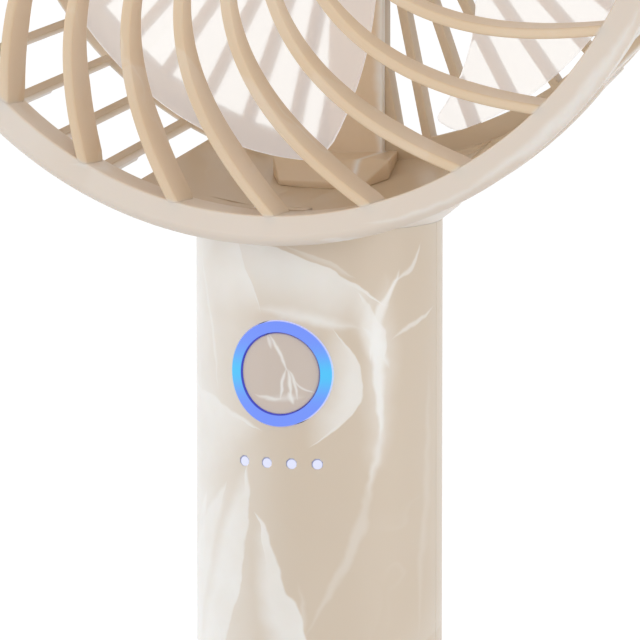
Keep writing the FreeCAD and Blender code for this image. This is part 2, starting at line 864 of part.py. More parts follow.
def light_ring():
    """Translucent ring round the button, with two legs down to its lamps."""
    leg_back = -(board_front_depth + led_height + slip_gap)
    half = light_leg_width / 2
    ring = curved_bar(light_ring_radius, light_ring_face_radius, light_ring_back_y)
    hole = rod_y(button_radius + button_gap, -FAR, FAR, z=button_height)
    legs = [block(x0, x1, light_ring_back_y - BITE, leg_back, button_height - half,
                  button_height + half)
            for x0, x1 in ((-light_leg_outside, -light_leg_inside),
                           (light_leg_inside, light_leg_outside))]
    return joined(ring.cut(hole), legs)


light_ring_back_y = light_ring_depth - light_ring_face_radius
button_back_y = spring_side_y - switch_stem_depth


def power_button():
    """Round cap with two ears behind the light ring and a post down to the switch."""
    back = light_ring_back_y + button_ear_thickness
    ear = light_leg_inside - button_gap
    post = switch_stem_width / 2
    cap = curved_bar(button_radius, button_face_radius, back)
    ears = block(-button_ear_width / 2, button_ear_width / 2, light_ring_back_y, back,
                 button_height - ear, button_height + ear)
    stem = block(-post, post, back - BITE, button_back_y, button_height - post,
                 button_height + post)
    return joined(cap, [ears, stem])


def button_switch():
    """Square push switch on the circuit board, with a well for its stem."""
    s = switch_size / 2
    body = block(-s, s, spring_side_y, -board_front_depth, button_height - s, button_height + s)
    w = switch_stem_width / 2 + button_gap
    well_end = spring_side_y + switch_stem_depth + 2 * button_travel
    well = block(-w, w, spring_side_y - BITE, well_end,
                 button_height - w, button_height + w)
    return body.cut(well)


def switch_stem():
    """Stem of the push switch, which the button pushes in."""
    w = switch_stem_width / 2
    return block(-w, w, button_back_y, spring_side_y + switch_stem_depth, button_height - w,
                 button_height + w)


def indicator_pin(x, radius, y0, y1):
    """Eight-sided pin or hole of an indicator window."""
    turn = 2 * math.pi / indicator_sides
    points = [(x + radius * math.cos((i + 0.5) * turn), indicator_height
               + radius * math.sin((i + 0.5) * turn)) for i in range(indicator_sides)]
    return prism_y(points, y0, y1)


def indicator_lights():
    """One clear moulding: four pins that end flush in the handle, on a bar behind them."""
    places = indicator_places()
    reach = max(places) + 2 * indicator_radius
    bar_front = -math.sqrt(handle_inner_radius ** 2 - reach ** 2) + 2 * slip_gap
    half_height = indicator_bar_height / 2
    bar = block(-reach, reach, bar_front, -(board_front_depth + led_height + slip_gap),
                indicator_height - half_height, indicator_height + half_height)
    inside = rod_z(handle_radius, board_bottom, board_top)
    pins = [indicator_pin(x, indicator_radius, -FAR, bar_front + BITE).common(inside)
            for x in places]
    return joined(bar, pins)


def indicator_leds():
    """Four lamps on the board behind the indicator pins."""
    front = -board_front_depth
    return Part.makeCompound([
        block(x - led_length / 2, x + led_length / 2, front - led_height, front,
              indicator_height - led_width / 2, indicator_height + led_width / 2)
        for x in indicator_places()])


def ring_leds():
    """Two lamps on the board behind the light ring's legs."""
    front = -board_front_depth
    middle = (light_leg_inside + light_leg_outside) / 2
    return Part.makeCompound([
        block(side * middle - led_width / 2, side * middle + led_width / 2, front - led_height,
              front, button_height - led_length / 2, button_height + led_length / 2)
        for side in (-1, 1)])


# ---------------------------------------------------------------- boards
def circuit_board():
    """Main board on the front shell's posts."""
    return block(-board_half_width, board_half_width, -board_front_depth,
                 -board_front_depth + board_thickness, board_bottom, board_top)


def board_components():
    """Charging chip, power coil and lead connector on the back of the board."""
    back = -board_front_depth + board_thickness
    components = []
    for (width, length, depth), (right, down) in zip(component_sizes, component_places):
        middle = board_top - down
        components.append(block(right - width / 2, right + width / 2, back, back + depth,
                                middle - length / 2, middle + length / 2))
    return Part.makeCompound(components)


port_bottom = charge_board_height + charge_board_thickness


def charge_board():
    """Small board on the base cap's plug that carries the charging socket."""
    half = charge_board_width / 2
    return block(-half, half, -charge_board_front, charge_board_back, charge_board_height,
                 charge_board_height + charge_board_thickness)


def charge_socket():
    """Formed steel shell of the charging socket, open towards the back."""
    mouth = handle_radius - port_recess
    inner = mouth - port_depth
    high = port_bottom + port_height
    shell = port_prism(port_width / 2, port_bottom, high, inner, mouth)
    hollow = port_prism(port_width / 2 - port_shell, port_bottom + port_shell,
                          high - port_shell, inner + 3 * port_shell, mouth + BITE)
    return shell.cut(hollow)


def charge_socket_tongue():
    """Plastic contact tongue in the charging socket."""
    mouth = handle_radius - port_recess
    inner = mouth - port_depth + 3 * port_shell
    middle = port_bottom + port_height / 2
    return block(-port_tongue_width / 2, port_tongue_width / 2, inner, mouth - 3 * port_shell,
                 middle - port_tongue_height / 2, middle + port_tongue_height / 2)


# ---------------------------------------------------------------- battery
def battery_cell():
    """Wrapped round cell."""
    return rod_z(cell_radius, cell_bottom, cell_bottom + cell_length, y=cell_offset)


def battery_tabs():
    """Nickel strips welded to the two ends of the cell."""
    y0, y1 = cell_offset - tab_length / 2, cell_offset + tab_length / 2
    w = tab_width / 2
    top = cell_bottom + cell_length
    return Part.makeCompound([
        block(-w, w, y0, y1, top, top + tab_thickness),
        block(-w, w, y0, y1, cell_bottom - tab_thickness, cell_bottom)])


def battery_pads():
    """Foam pads between the cell and the front shell's webs."""
    half = cell_rib_width / 2
    front = cell_offset - cell_radius
    return Part.makeCompound([
        block(-half, half, front - cell_pad_thickness, front, height, height + cell_rib_height)
        for height in cell_rib_places])


# ---------------------------------------------------------------- write the pieces
pieces = {
    "front_guard": front_guard,
    "rear_guard": rear_guard,
    "rear_grille": rear_grille,
    "wire_duct": wire_duct,
    "motor_can": motor_can,
    "motor_shaft": motor_shaft,
    "impeller": impeller,
    "handle_front_shell": handle_front_shell,
    "handle_rear_shell": handle_rear_shell,
    "base_cap": base_cap,
    "power_button": power_button,
    "light_ring": light_ring,
    "button_switch": button_switch,
    "switch_stem": switch_stem,
    "indicator_lights": indicator_lights,
    "indicator_leds": indicator_leds,
    "ring_leds": ring_leds,
    "circuit_board": circuit_board,
    "board_components": board_components,
    "charge_board": charge_board,
    "charge_socket": charge_socket,
    "charge_socket_tongue": charge_socket_tongue,
    "battery_cell": battery_cell,
    "battery_tabs": battery_tabs,
    "battery_pads": battery_pads,
}

os.makedirs("parts", exist_ok=True)
for name, make in pieces.items():
    shape = make()
    shape.exportStep("parts/" + name + ".step")
    print(name, "solids", len(shape.Solids), "volume", round(shape.Volume, 1),
          "sound" if shape.isValid() else "NOT SOUND")
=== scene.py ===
# %% [markdown]
# # A handheld fan
# This lesson dresses a battery fan that a CAD program has already measured out. The packed
# model gives every solid its place, and Blender adds what a solid lacks: rounded edges,
# smooth spiral ribs, marbled plastic, milky blades and a lit ring. Blender counts in metres,
# so lengths given in millimetres are multiplied by `MM`.

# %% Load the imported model
import json
import math

import bmesh
import bpy
from mathutils import Matrix, Vector


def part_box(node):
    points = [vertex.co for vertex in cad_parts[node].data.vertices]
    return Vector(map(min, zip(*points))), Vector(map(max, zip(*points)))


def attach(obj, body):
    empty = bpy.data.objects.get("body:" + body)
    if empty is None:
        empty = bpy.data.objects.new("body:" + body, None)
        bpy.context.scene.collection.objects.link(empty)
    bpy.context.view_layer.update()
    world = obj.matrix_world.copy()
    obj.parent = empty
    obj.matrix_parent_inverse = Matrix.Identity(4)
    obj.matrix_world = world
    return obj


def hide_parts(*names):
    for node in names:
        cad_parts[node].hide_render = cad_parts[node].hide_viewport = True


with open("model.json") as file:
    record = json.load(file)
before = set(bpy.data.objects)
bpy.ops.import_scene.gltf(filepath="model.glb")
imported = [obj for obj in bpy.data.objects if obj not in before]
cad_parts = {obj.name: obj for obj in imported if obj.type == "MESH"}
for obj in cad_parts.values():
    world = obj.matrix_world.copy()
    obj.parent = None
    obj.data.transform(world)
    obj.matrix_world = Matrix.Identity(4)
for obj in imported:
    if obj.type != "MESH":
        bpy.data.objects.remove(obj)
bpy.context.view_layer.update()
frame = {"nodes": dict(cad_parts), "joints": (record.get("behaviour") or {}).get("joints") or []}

MM = 0.001
nodes = frame["nodes"]
spin = next(j for j in frame["joints"] if j["name"] == "impeller_spin")
head = Vector(spin["pos_m"])
print("head centre", tuple(round(v, 4) for v in head), "nodes", len(nodes))

# %% [markdown]
# ## Camera
# The fan is seen from a little to its right and a little above, through a long lens, so
# its handle stays nearly parallel. A shorter lens closer by would make the handle taper.
# The camera stands on a line from the head and is aimed lower, so that the view holds the
# lower half of the head and the upper half of the handle.

# %% Camera
VIEW_TURN = math.radians(19.1)
VIEW_RISE = math.radians(3.6)
VIEW_DISTANCE = 0.976
LENS_MM, SENSOR_MM = 452.9, 36.0
AIM = Vector((0.00006, 0.0, -0.06421))


def new_object(name, data):
    """An object of that name and data, put into the scene."""
    item = bpy.data.objects.new(name, data)
    bpy.context.scene.collection.objects.link(item)
    return item


def point_at(item, place, target):
    """Stands a camera or a lamp at a place, turned to look at a target."""
    item.location = place
    item.rotation_mode = "QUATERNION"
    aim = Vector(target) - Vector(place)
    item.rotation_quaternion = aim.to_track_quat("-Z", "Y")


towards = Vector((math.sin(VIEW_TURN) * math.cos(VIEW_RISE),
                  -math.cos(VIEW_TURN) * math.cos(VIEW_RISE), math.sin(VIEW_RISE)))
lens = bpy.data.cameras.new("camera")
lens.sensor_width, lens.lens = SENSOR_MM, LENS_MM
lens.clip_start, lens.clip_end = 0.05, 20.0
camera = new_object("camera", lens)
point_at(camera, head + towards * VIEW_DISTANCE, head + AIM)
bpy.context.scene.camera = camera
print("camera", tuple(round(v, 3) for v in camera.location))

# %% [markdown]
# ## Formulas made of nodes
# A node tree for a shape or a colour is mostly arithmetic, and arithmetic is hard to read as
# boxes and wires. This small class wraps a socket, so that `a * b + c` adds the Math nodes
# itself. It serves both geometry trees and shader trees, which share the same Math node.

# %% Formula helper


def feed(node, values):
    """Fills a node's inputs, by name or in order: links a socket or a formula, and writes
    plain numbers on the input itself, a colour with its full alpha."""
    for label, value in values.items() if isinstance(values, dict) else enumerate(values):
        value = getattr(value, "socket", value)
        target = node.inputs[label]
        if isinstance(value, bpy.types.NodeSocket):
            node.id_data.links.new(value, target)
        else:
            target.default_value = (*value, 1) if target.type == "RGBA" else value


def add_node(tree, kind, inputs=(), **settings):
    """A new node with its settings, such as an operation, and its inputs fed."""
    node = tree.nodes.new(kind)
    for setting, value in settings.items():
        setattr(node, setting, value)
    feed(node, inputs)
    return node


class Formula:
    """A socket of a node tree that can be used in arithmetic."""

    def __init__(self, tree, socket):
        self.tree, self.socket = tree, socket

    def apply(self, operation, *others):
        node = add_node(self.tree, "ShaderNodeMath", (self,) + others, operation=operation)
        return Formula(self.tree, node.outputs[0])

    def __add__(self, other):
        return self.apply("ADD", other)

    def __sub__(self, other):
        return self.apply("SUBTRACT", other)

    def __mul__(self, other):
        return self.apply("MULTIPLY", other)

    def __truediv__(self, other):
        return self.apply("DIVIDE", other)

    def __neg__(self):
        return self.apply("MULTIPLY", -1.0)

    def clamped(self):
        """The same value, held between 0 and 1."""
        held = self.apply("ADD", 0.0)
        held.socket.node.use_clamp = True
        return held


print("formulas ready")

# %% Vectors and groups


def separate(tree, vector_socket):
    """The three parts of a vector as formulas."""
    node = add_node(tree, "ShaderNodeSeparateXYZ", [vector_socket])
    return [Formula(tree, output) for output in node.outputs]


def combine(tree, *parts):
    """A vector socket from three formulas or numbers."""
    return add_node(tree, "ShaderNodeCombineXYZ", parts).outputs[0]


def new_group(kind, name, inputs, outputs):
    """A node tree with its input and output node. Each input is a name and a socket type,
    and may have a default."""
    tree = bpy.data.node_groups.new(name, kind)
    for label, socket_type, *default in inputs:
        socket = tree.interface.new_socket(label, in_out="INPUT", socket_type=socket_type)
        if default:
            socket.default_value = default[0]
    for label, socket_type in outputs:
        tree.interface.new_socket(label, in_out="OUTPUT", socket_type=socket_type)
    return tree, tree.nodes.new("NodeGroupInput"), tree.nodes.new("NodeGroupOutput")


print("vectors and groups ready")

# %% [markdown]
# ## Patterns that every plastic needs
# Noise, a soft step and a blend of two colours are the words that the finishes below are
# made of. Stirred plastic is bent noise: pushing the coordinates about before they reach a
# pattern is cheaper than modelling the flow, and it gives the same drawn-out shapes.

# %% Pattern helpers
FLOAT, COLOUR, VECTOR = "NodeSocketFloat", "NodeSocketColor", "NodeSocketVector"


def noise(tree, place, scale, detail=2.0, colour=False):
    node = add_node(tree, "ShaderNodeTexNoise",
                    {"Vector": place, "Scale": scale, "Detail": detail})
    return node.outputs["Color"] if colour else Formula(tree, node.outputs["Fac"])


def vector_math(tree, operation, *sides):
    """A vector socket from two sides, each a socket or three plain numbers."""
    return add_node(tree, "ShaderNodeVectorMath", sides, operation=operation).outputs[0]


def smooth_step(value, low, high):
    """0 below low, 1 above high, and a soft rise between."""
    node = add_node(value.tree, "ShaderNodeMapRange",
                    {"Value": value, "From Min": low, "From Max": high},
                    interpolation_type="SMOOTHSTEP")
    return Formula(value.tree, node.outputs["Result"])


def bent_vector(tree, place, scale, amount):
    """Coordinates pushed about by soft noise, as the stirring pushes the plastic."""
    push = noise(tree, place, scale, detail=1.5, colour=True)
    centred = vector_math(tree, "SUBTRACT", push, (0.5, 0.5, 0.5))
    spread = vector_math(tree, "MULTIPLY", centred, (amount,) * 3)
    return vector_math(tree, "ADD", place, spread)


def blended(tree, factor, first, second):
    """A colour socket that goes from the first colour to the second with the factor."""
    node = add_node(tree, "ShaderNodeMix", {"Factor": factor, "A": first, "B": second},
                    data_type="RGBA")
    return node.outputs["Result"]


print("pattern helpers ready")

# %% [markdown]
# ## Poured marble plastic
# The shells are beige plastic with white that was stirred in before it set. The white lies in
# folds, each with one crisp edge from which it fades slowly. A saw-tooth wave does just that,
# so the group bends the coordinates with soft noise and sends them through a saw-tooth.
# Threads are thin white lines where a bent noise crosses its middle. A painted picture could
# hold the same marks, but it would need unwrapping and would blur.

# %% Marble group


def make_marble():
    tree, source, target = new_group(
        "ShaderNodeTree", "poured_marble",
        [("Position", VECTOR), ("Folds", FLOAT), ("Threads", FLOAT), ("Extra White", FLOAT),
         ("Beige", COLOUR), ("White", COLOUR)], [("Color", COLOUR)])
    place = source.outputs["Position"]
    amount = {label: Formula(tree, source.outputs[label])
              for label in ("Folds", "Threads", "Extra White")}
    slow = bent_vector(tree, place, scale=22.0, amount=0.045)
    quick = bent_vector(tree, slow, scale=90.0, amount=0.006)

    saw = (noise(tree, quick, 24.0, detail=1.0) * 6.0).apply("FRACT")
    fold = smooth_step(saw, 0.1, 1.0) * smooth_step(-saw, -1.0, -0.93)
    where = smooth_step(noise(tree, slow, 17.0, detail=1.0), 0.42, 0.66)
    folds = fold * where * amount["Folds"]
    cloud = smooth_step(noise(tree, slow, 34.0), 0.35, 0.75) * 0.35
    clouds = cloud * amount["Folds"]

    from_middle = (noise(tree, quick, 60.0) - 0.5).apply("ABSOLUTE")
    rare = smooth_step(noise(tree, place, 40.0, detail=1.0), 0.5, 0.7)
    threads = smooth_step(-from_middle, -0.02, 0.0) * rare * amount["Threads"]

    white = (folds + clouds + threads + amount["Extra White"]).clamped()
    feed(target, [blended(tree, white, source.outputs["Beige"], source.outputs["White"])])
    return tree


marble = make_marble()
print("marble nodes", len(marble.nodes))

# %% [markdown]
# ## White streaks with a place
# Beside the folds that lie anywhere, the handle has streaks of white that were drawn through
# it on purpose. Each is a leaf shape with a start, a direction, a length and a bow. Its two
# sides have their own width and softness, because poured white is crisp on the side that it
# flowed towards and fades on the other. The handle is round, so its streaks are placed on
# the unrolled surface: x is the way round it from the front, z is the height.

# %% Streak group
STREAK_SIZES = ("Start X", "Start Z", "Turn", "Length", "Left Width", "Right Width",
                "Left Softness", "Right Softness", "Bow", "Strength")


def make_streak():
    tree, source, target = new_group(
        "ShaderNodeTree", "white_streak",
        [("Position", VECTOR)] + [(label, FLOAT) for label in STREAK_SIZES],
        [("Mask", FLOAT)])
    given = {label: Formula(tree, source.outputs[label]) for label in STREAK_SIZES}
    x, _, z = separate(tree, source.outputs["Position"])
    dx, dz = x - given["Start X"], z - given["Start Z"]
    cos, sin = given["Turn"].apply("COSINE"), given["Turn"].apply("SINE")
    along = (dx * cos + dz * sin) / given["Length"]
    hump = along.clamped() * (-along + 1.0).clamped() * 4.0
    across = dz * cos - dx * sin - given["Bow"] * hump
    left = across.apply("GREATER_THAN", 0.0)

    def of_side(size):
        """The left side's value of a size on the left, and the right side's on the right."""
        right = given["Right " + size]
        return right + (given["Left " + size] - right) * left

    edge = hump.apply("POWER", 0.7) - across.apply("ABSOLUTE") / of_side("Width")
    share = (edge / of_side("Softness")).clamped()
    mask = share * share * (-share * 2.0 + 3.0) * given["Strength"]
    feed(target, [mask])
    return tree


streak = make_streak()
print("streak nodes", len(streak.nodes))

# %% [markdown]
# ## Where the streaks lie
# On the real handle a veil of white comes down from under the head, a vein runs down the
# right side, and a flame of white rises at the lower left. The ring and the button have a
# few more. The wire duct's one streak is a painted highlight down its right side, where the
# light falls. They could be painted, but in a table each row is one streak, and moving it is
# a matter of two numbers.

# %% Streak tables
# start x and z, turn in degrees, length, widths left and right, softness left and right,
# bow, strength; lengths in mm
HANDLE_STREAKS = [
    (-9.5, 107.6, -21, 25.5, 0.7, 9.5, 0.3, 1.0, 1.0, 0.72),
    (9.6, 100.6, -66, 9.5, 0.8, 4.0, 0.35, 1.0, 1.2, 0.60),
    (-6.9, 109.5, -68, 13.0, 0.3, 8.0, 0.4, 1.0, -0.5, 0.60),
    (-3.5, 98.0, -8, 15.0, 1.4, 1.2, 1.0, 1.0, 0.8, 0.55),
    (-15.0, 106.5, -72, 20.0, 0.5, 0.5, 0.8, 0.8, 0.6, 0.50),
    (-17.2, 100.0, -78, 17.0, 0.6, 0.5, 1.0, 1.0, 0.4, 0.40),
    (0.5, 106.0, -24, 10.0, 0.4, 0.7, 0.6, 1.0, 0.3, 0.30),
    (19.3, 106.0, -135, 7.5, 0.45, 0.5, 0.8, 0.8, 0.3, 0.55),
    (15.2, 103.0, -107, 12.0, 0.8, 0.7, 0.7, 0.8, -0.3, 0.75),
    (12.6, 98.5, -91, 16.0, 1.2, 1.0, 0.8, 0.7, 0.3, 0.80),
    (13.4, 103.0, -94, 26.0, 3.4, 3.4, 1.2, 1.2, 0.4, 0.50),
    (11.9, 99.5, -85, 9.0, 1.9, 2.1, 0.9, 0.9, 0.0, 0.60),
    (11.0, 96.5, -60, 6.5, 0.9, 0.8, 0.8, 0.8, 0.2, 0.55),
    (13.2, 90.0, -98, 15.0, 1.0, 0.8, 1.0, 1.0, 0.2, 0.32),
    (22.9, 98.0, -156, 9.5, 0.4, 0.45, 0.8, 0.8, -0.4, 0.50),
    (12.8, 84.0, -111, 28.0, 0.9, 0.9, 0.8, 0.8, 1.6, 0.22),
    (6.5, 97.0, -100, 15.5, 0.9, 6.0, 0.35, 0.9, 4.4, 0.68),
    (-20.5, 88.0, -15, 19.5, 1.0, 9.0, 0.4, 1.1, 1.0, 0.62),
    (-4.1, 79.0, -105, 42.0, 2.6, 4.2, 0.16, 0.5, 0.0, 0.66),
    (-7.6, 76.9, -112, 40.0, 2.0, 4.6, 0.6, 0.2, -0.8, 0.60),
    (-12.4, 75.3, -103, 30.0, 1.6, 3.0, 0.6, 0.25, 0.0, 0.55),
    (-3.4, 73.8, -77, 34.0, 2.6, 3.4, 0.16, 0.9, 0.5, 0.70),
    (-9.5, 60.0, -80, 28.0, 1.4, 3.0, 0.6, 0.9, 0.4, 0.55),
    (3.0, 66.0, -93, 17.0, 0.9, 0.8, 1.0, 1.0, 0.0, 0.22),
    (21.5, 92.0, -95, 36.0, 1.4, 1.2, 1.0, 1.0, 0.8, 0.14),
]
RING_STREAKS = [
    (24.0, 113.7, 46, 34.0, 1.1, 1.3, 1.0, 0.8, -2.7, 0.50),
    (12.0, 109.6, 22, 19.0, 0.5, 0.6, 1.0, 1.0, -1.0, 0.35),
    (-25.0, 115.6, -14, 13.0, 0.5, 0.7, 1.0, 1.0, 0.9, 0.35),
    (6.5, 107.6, 4, 9.0, 0.5, 0.9, 0.8, 0.8, -0.2, 0.40),
]
# The duct's row is no marble: it is a painted highlight down the duct's right side, where the
# light falls.
DUCT_PAINTED_HIGHLIGHT = [
    (3.7, 104.0, 90, 62.0, 1.5, 1.2, 0.8, 0.8, 0.0, 0.75),
]
BUTTON_STREAKS = [
    (-1.3, 95.6, -63, 5.6, 0.36, 0.36, 0.9, 0.9, 0.12, 0.78),
    (-1.5, 95.3, -70, 2.0, 0.55, 0.4, 1.0, 1.0, 0.0, 0.60),
    (1.0, 91.6, -100, 4.4, 0.32, 0.32, 0.9, 0.9, -0.2, 0.76),
    (1.1, 91.4, -84, 3.9, 0.38, 0.38, 0.9, 0.9, 0.0, 0.80),
    (1.1, 91.4, -71, 4.2, 0.32, 0.32, 0.9, 0.9, 0.15, 0.72),
    (1.6, 90.4, -33, 3.6, 0.24, 0.24, 0.9, 0.9, -0.5, 0.58),
    (0.7, 87.7, 176, 4.2, 0.45, 0.35, 1.0, 1.0, 0.35, 0.55),
    (1.0, 88.6, -60, 1.8, 0.60, 0.60, 1.0, 1.0, 0.0, 0.70),
    (-2.0, 87.2, 8, 5.5, 0.9, 0.5, 1.2, 1.2, 0.0, 0.40),
]
print("streaks on the handle", len(HANDLE_STREAKS))

# %% Streaks as one mask
HANDLE_RADIUS = 15.0 * MM
# These sizes, in mm round from the front, bound the white on the handle's left side: it is
# partly marble and partly painted light on the side that faces the light.
WASH_BEGINS, WASH_IS_FULL = -4.0 * MM, 18.0 * MM
WASH_ENDS, WASH_FADES = -44.0 * MM, -27.0 * MM


def unrolled(tree, place, radius):
    """Coordinates on a round handle's surface: the way round from the front, and height."""
    x, y, z = separate(tree, place)
    return combine(tree, x.apply("ARCTAN2", -y) * radius, 0.0, z)


def streaks_mask(tree, place, rows, round_place, white_and_light_wash):
    """How white the rows make each place. The broad white on the left side is partly marble
    and partly painted light, where that side faces the light; it fades out before it meets
    itself at the back."""
    flat = unrolled(tree, place, HANDLE_RADIUS) if round_place else place
    bent = bent_vector(tree, flat, scale=130.0, amount=0.003 if round_place else 0.001)
    bent = bent_vector(tree, bent, scale=520.0, amount=0.0006)
    x, _, _ = separate(tree, bent)
    # The left side's white: partly marble, partly painted light where that side faces the light.
    left_white_and_light = smooth_step(-x, WASH_BEGINS, WASH_IS_FULL)
    total = left_white_and_light * smooth_step(x, WASH_ENDS, WASH_FADES) * white_and_light_wash
    for row in rows:
        sizes = {"Position": bent}
        for label, value in zip(STREAK_SIZES, row):
            if label == "Turn":
                value = math.radians(value)
            elif "Softness" not in label and label != "Strength":
                value *= MM
            sizes[label] = value
        leaf = add_node(tree, "ShaderNodeGroup", sizes, node_tree=streak)
        mask = Formula(tree, leaf.outputs["Mask"])
        total = total + mask - total * mask
    grain = noise(tree, bent, 180.0, detail=3.0)
    return total * (grain * 0.5 + 0.75)


print("streaks on the button", len(BUTTON_STREAKS))

# %% [markdown]
# ## Materials of the shells
# Every shell is the same glossy plastic, so one function makes them all. The grille is the
# plainest and the handle the most marbled. The ring and the outside of the cage are paler
# than the ribs within, which the material tells by the distance from the head's axis. Two
# materials on one piece would do as well, but with a hard line between them.

# %% Shell material
WHITE = (0.90, 0.89, 0.865)
BEIGE = (0.655, 0.55, 0.435)
RIB_BEIGE = (0.745, 0.57, 0.385)
RING_BEIGE = (0.755, 0.655, 0.56)
CAGE_BEIGE = (0.66, 0.515, 0.355)
WALL_BEIGE = (0.80, 0.72, 0.64)
BUTTON_BEIGE = (0.62, 0.53, 0.465)
SEAM_Y = -15.1
WALL_TAPER = 0.144
RING_EDGE = (48.8, 49.4, 0.0)
WALL_EDGE = (51.7, 52.0, WALL_TAPER)


def new_material(name):
    """A material, its tree, its shader, and the place on the object as a socket."""
    material = bpy.data.materials.new(name)
    material.use_nodes = True
    tree = material.node_tree
    place = add_node(tree, "ShaderNodeTexCoord").outputs["Object"]
    return material, tree, tree.nodes["Principled BSDF"], place


def marbled(tree, values):
    """The colour of the marble group with its place, its amounts and its two colours."""
    return add_node(tree, "ShaderNodeGroup", values, node_tree=marble).outputs["Color"]


def tint_by_radius(tree, place, inner, outer, edge):
    """The inner colour near the head's axis and the outer one beyond an edge, which is a
    radius in mm where the change begins, one where it ends, and the taper with depth."""
    begins, ends, taper = edge
    x, y, z = separate(tree, place)
    up = z - head.z
    radius = (x * x + up * up).apply("SQRT") + (y - SEAM_Y * MM) * taper
    return blended(tree, smooth_step(radius, begins * MM, ends * MM), inner, outer)


def plastic(name, folds, threads, beige=BEIGE, streaks=(), round_place=False, white_and_light_wash=0.0,
            outer_beige=None, outer_edge=RING_EDGE, roughness=0.32):
    material, tree, shader, place = new_material(name)
    values = {"Position": place, "Folds": folds, "Threads": threads, "Beige": beige,
              "White": WHITE}
    if outer_beige:
        values["Beige"] = tint_by_radius(tree, place, beige, outer_beige, outer_edge)
    if streaks:
        values["Extra White"] = streaks_mask(tree, place, streaks, round_place, white_and_light_wash)
    fine = noise(tree, place, 900.0)
    bump = add_node(tree, "ShaderNodeBump",
                    {"Distance": 0.00002, "Strength": 0.12, "Height": fine})
    feed(shader, {"Base Color": marbled(tree, values), "Normal": bump.outputs["Normal"],
                  "Roughness": fine * 0.06 + (roughness - 0.03), "IOR": 1.5,
                  "Subsurface Weight": 0.15, "Subsurface Scale": 1.0,
                  "Subsurface Radius": (0.0012, 0.0008, 0.0005)})
    return material


print("shell material ready")

# %% The five shell materials
grille_plastic = plastic("marbled_grille", folds=0.16, threads=0.15, beige=RIB_BEIGE,
                         streaks=RING_STREAKS, outer_beige=RING_BEIGE)
cage_plastic = plastic("marbled_cage", folds=0.12, threads=0.1, beige=CAGE_BEIGE,
                       outer_beige=WALL_BEIGE, outer_edge=WALL_EDGE)
# The duct's streak is a painted highlight on its right side; its folds and threads are marble.
duct_plastic = plastic("marbled_duct", folds=0.5, threads=0.2, beige=RIB_BEIGE,
                       streaks=DUCT_PAINTED_HIGHLIGHT)
# The handle's left side is whiter: partly marble, partly painted light.
handle_plastic = plastic("marbled_handle", folds=0.16, threads=0.1, streaks=HANDLE_STREAKS,
                         round_place=True, white_and_light_wash=0.85)
button_plastic = plastic("marbled_button", folds=0.1, threads=0.0, beige=BUTTON_BEIGE,
                         streaks=BUTTON_STREAKS, roughness=0.25)
print("shell materials", 5)

# %% [markdown]
# ## Milky blades
# The blades are thin and milky, and what lies behind them shows as a soft shade. Part of the
# light is scattered and part goes through a rough surface, which blurs it. An index close to
# that of air keeps the view through them straight. A little light of their own stands for
# what bounces about inside, which a thin shell in a path tracer would lose.

# %% Blade material
blade_plastic, tree, shader, place = new_material("milky_blade_plastic")
colour = marbled(tree, {"Position": place, "Folds": 0.5, "Threads": 0.0,
                        "Beige": (0.80, 0.765, 0.70), "White": (0.84, 0.81, 0.75)})
feed(shader, {"Base Color": colour, "Roughness": 0.3, "IOR": 1.04,
              "Transmission Weight": 0.8, "Emission Color": (0.68, 0.70, 0.79),
              "Emission Strength": 0.22})
print("blade material nodes", len(tree.nodes))

# %% [markdown]
# ## Lit pieces
# The ring round the button is a light guide: two lamps behind its left and right sides make
# it cyan there, and it is a deeper blue elsewhere. Real lamps behind clear plastic would need
# many samples, so the ring glows by itself: its colour follows the height from the lamps. The
# distance from the button's middle gives its inner wall a painted shade, as in a recess, and
# its outer wall, which stands proud of the handle, a painted highlight. The four indicator
# windows are pale lamps with a painted shade round their edge, heavier at the upper left as in
# a recess, drawn on the unrolled handle.

# %% Ring of light
button_low, button_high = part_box("light_ring")
button_middle = (button_low + button_high) / 2
LAMP_REACH = 2.3 * MM
# Radii in mm where the inner wall's painted shade and the outer wall's painted highlight begin
# and end.
RING_SHADED_INNER_WALL = (5.10, 5.04)
RING_LIT_OUTER_WALL = (6.36, 6.42)

ring_light, tree, shader, place = new_material("lit_ring")
x, _, z = separate(tree, place)
up = z - button_middle.z
height = up / LAMP_REACH
lamp_glow = (-(height * height)).apply("EXPONENT")
colour = blended(tree, lamp_glow, (0.165, 0.275, 0.93), (0.06, 0.54, 0.92))
radius = (x * x + up * up).apply("SQRT")
# Painted shade on the ring's inner wall, as in the recess round the button.
inside = smooth_step(-radius, -RING_SHADED_INNER_WALL[0] * MM, -RING_SHADED_INNER_WALL[1] * MM)
colour = blended(tree, inside, colour, (0.05, 0.06, 0.50))
# Painted highlight on the ring's outer wall, which stands proud of the handle.
outside = smooth_step(radius, RING_LIT_OUTER_WALL[0] * MM, RING_LIT_OUTER_WALL[1] * MM)
colour = blended(tree, outside, colour, (0.72, 0.72, 0.95))
feed(shader, {"Emission Color": colour, "Emission Strength": 0.95, "Roughness": 0.35,
              "Base Color": (0.03, 0.04, 0.08), "Specular IOR Level": 0.25})
print("ring at", tuple(round(v, 4) for v in button_middle))

# %% Windows
window_low, window_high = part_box("indicator_lights")
window_middle = (window_low + window_high) / 2
WINDOW_STEP = math.radians(12.0)
# The disc is moved right and down, so that the painted shade round its edge lies heavier at the
# upper left, as in a recess.
WINDOW_SHADE_SHIFT = 0.05 * MM
WINDOW_SHADED_RIM = (0.66, 0.52)

window_light, tree, shader, place = new_material("lit_window")
s, _, z = separate(tree, unrolled(tree, place, HANDLE_RADIUS))
step = WINDOW_STEP * HANDLE_RADIUS
turn = s / step
across = (turn - turn.apply("FLOOR") - 0.5) * step - WINDOW_SHADE_SHIFT
up = z - window_middle.z + WINDOW_SHADE_SHIFT
radius = (across * across + up * up).apply("SQRT")
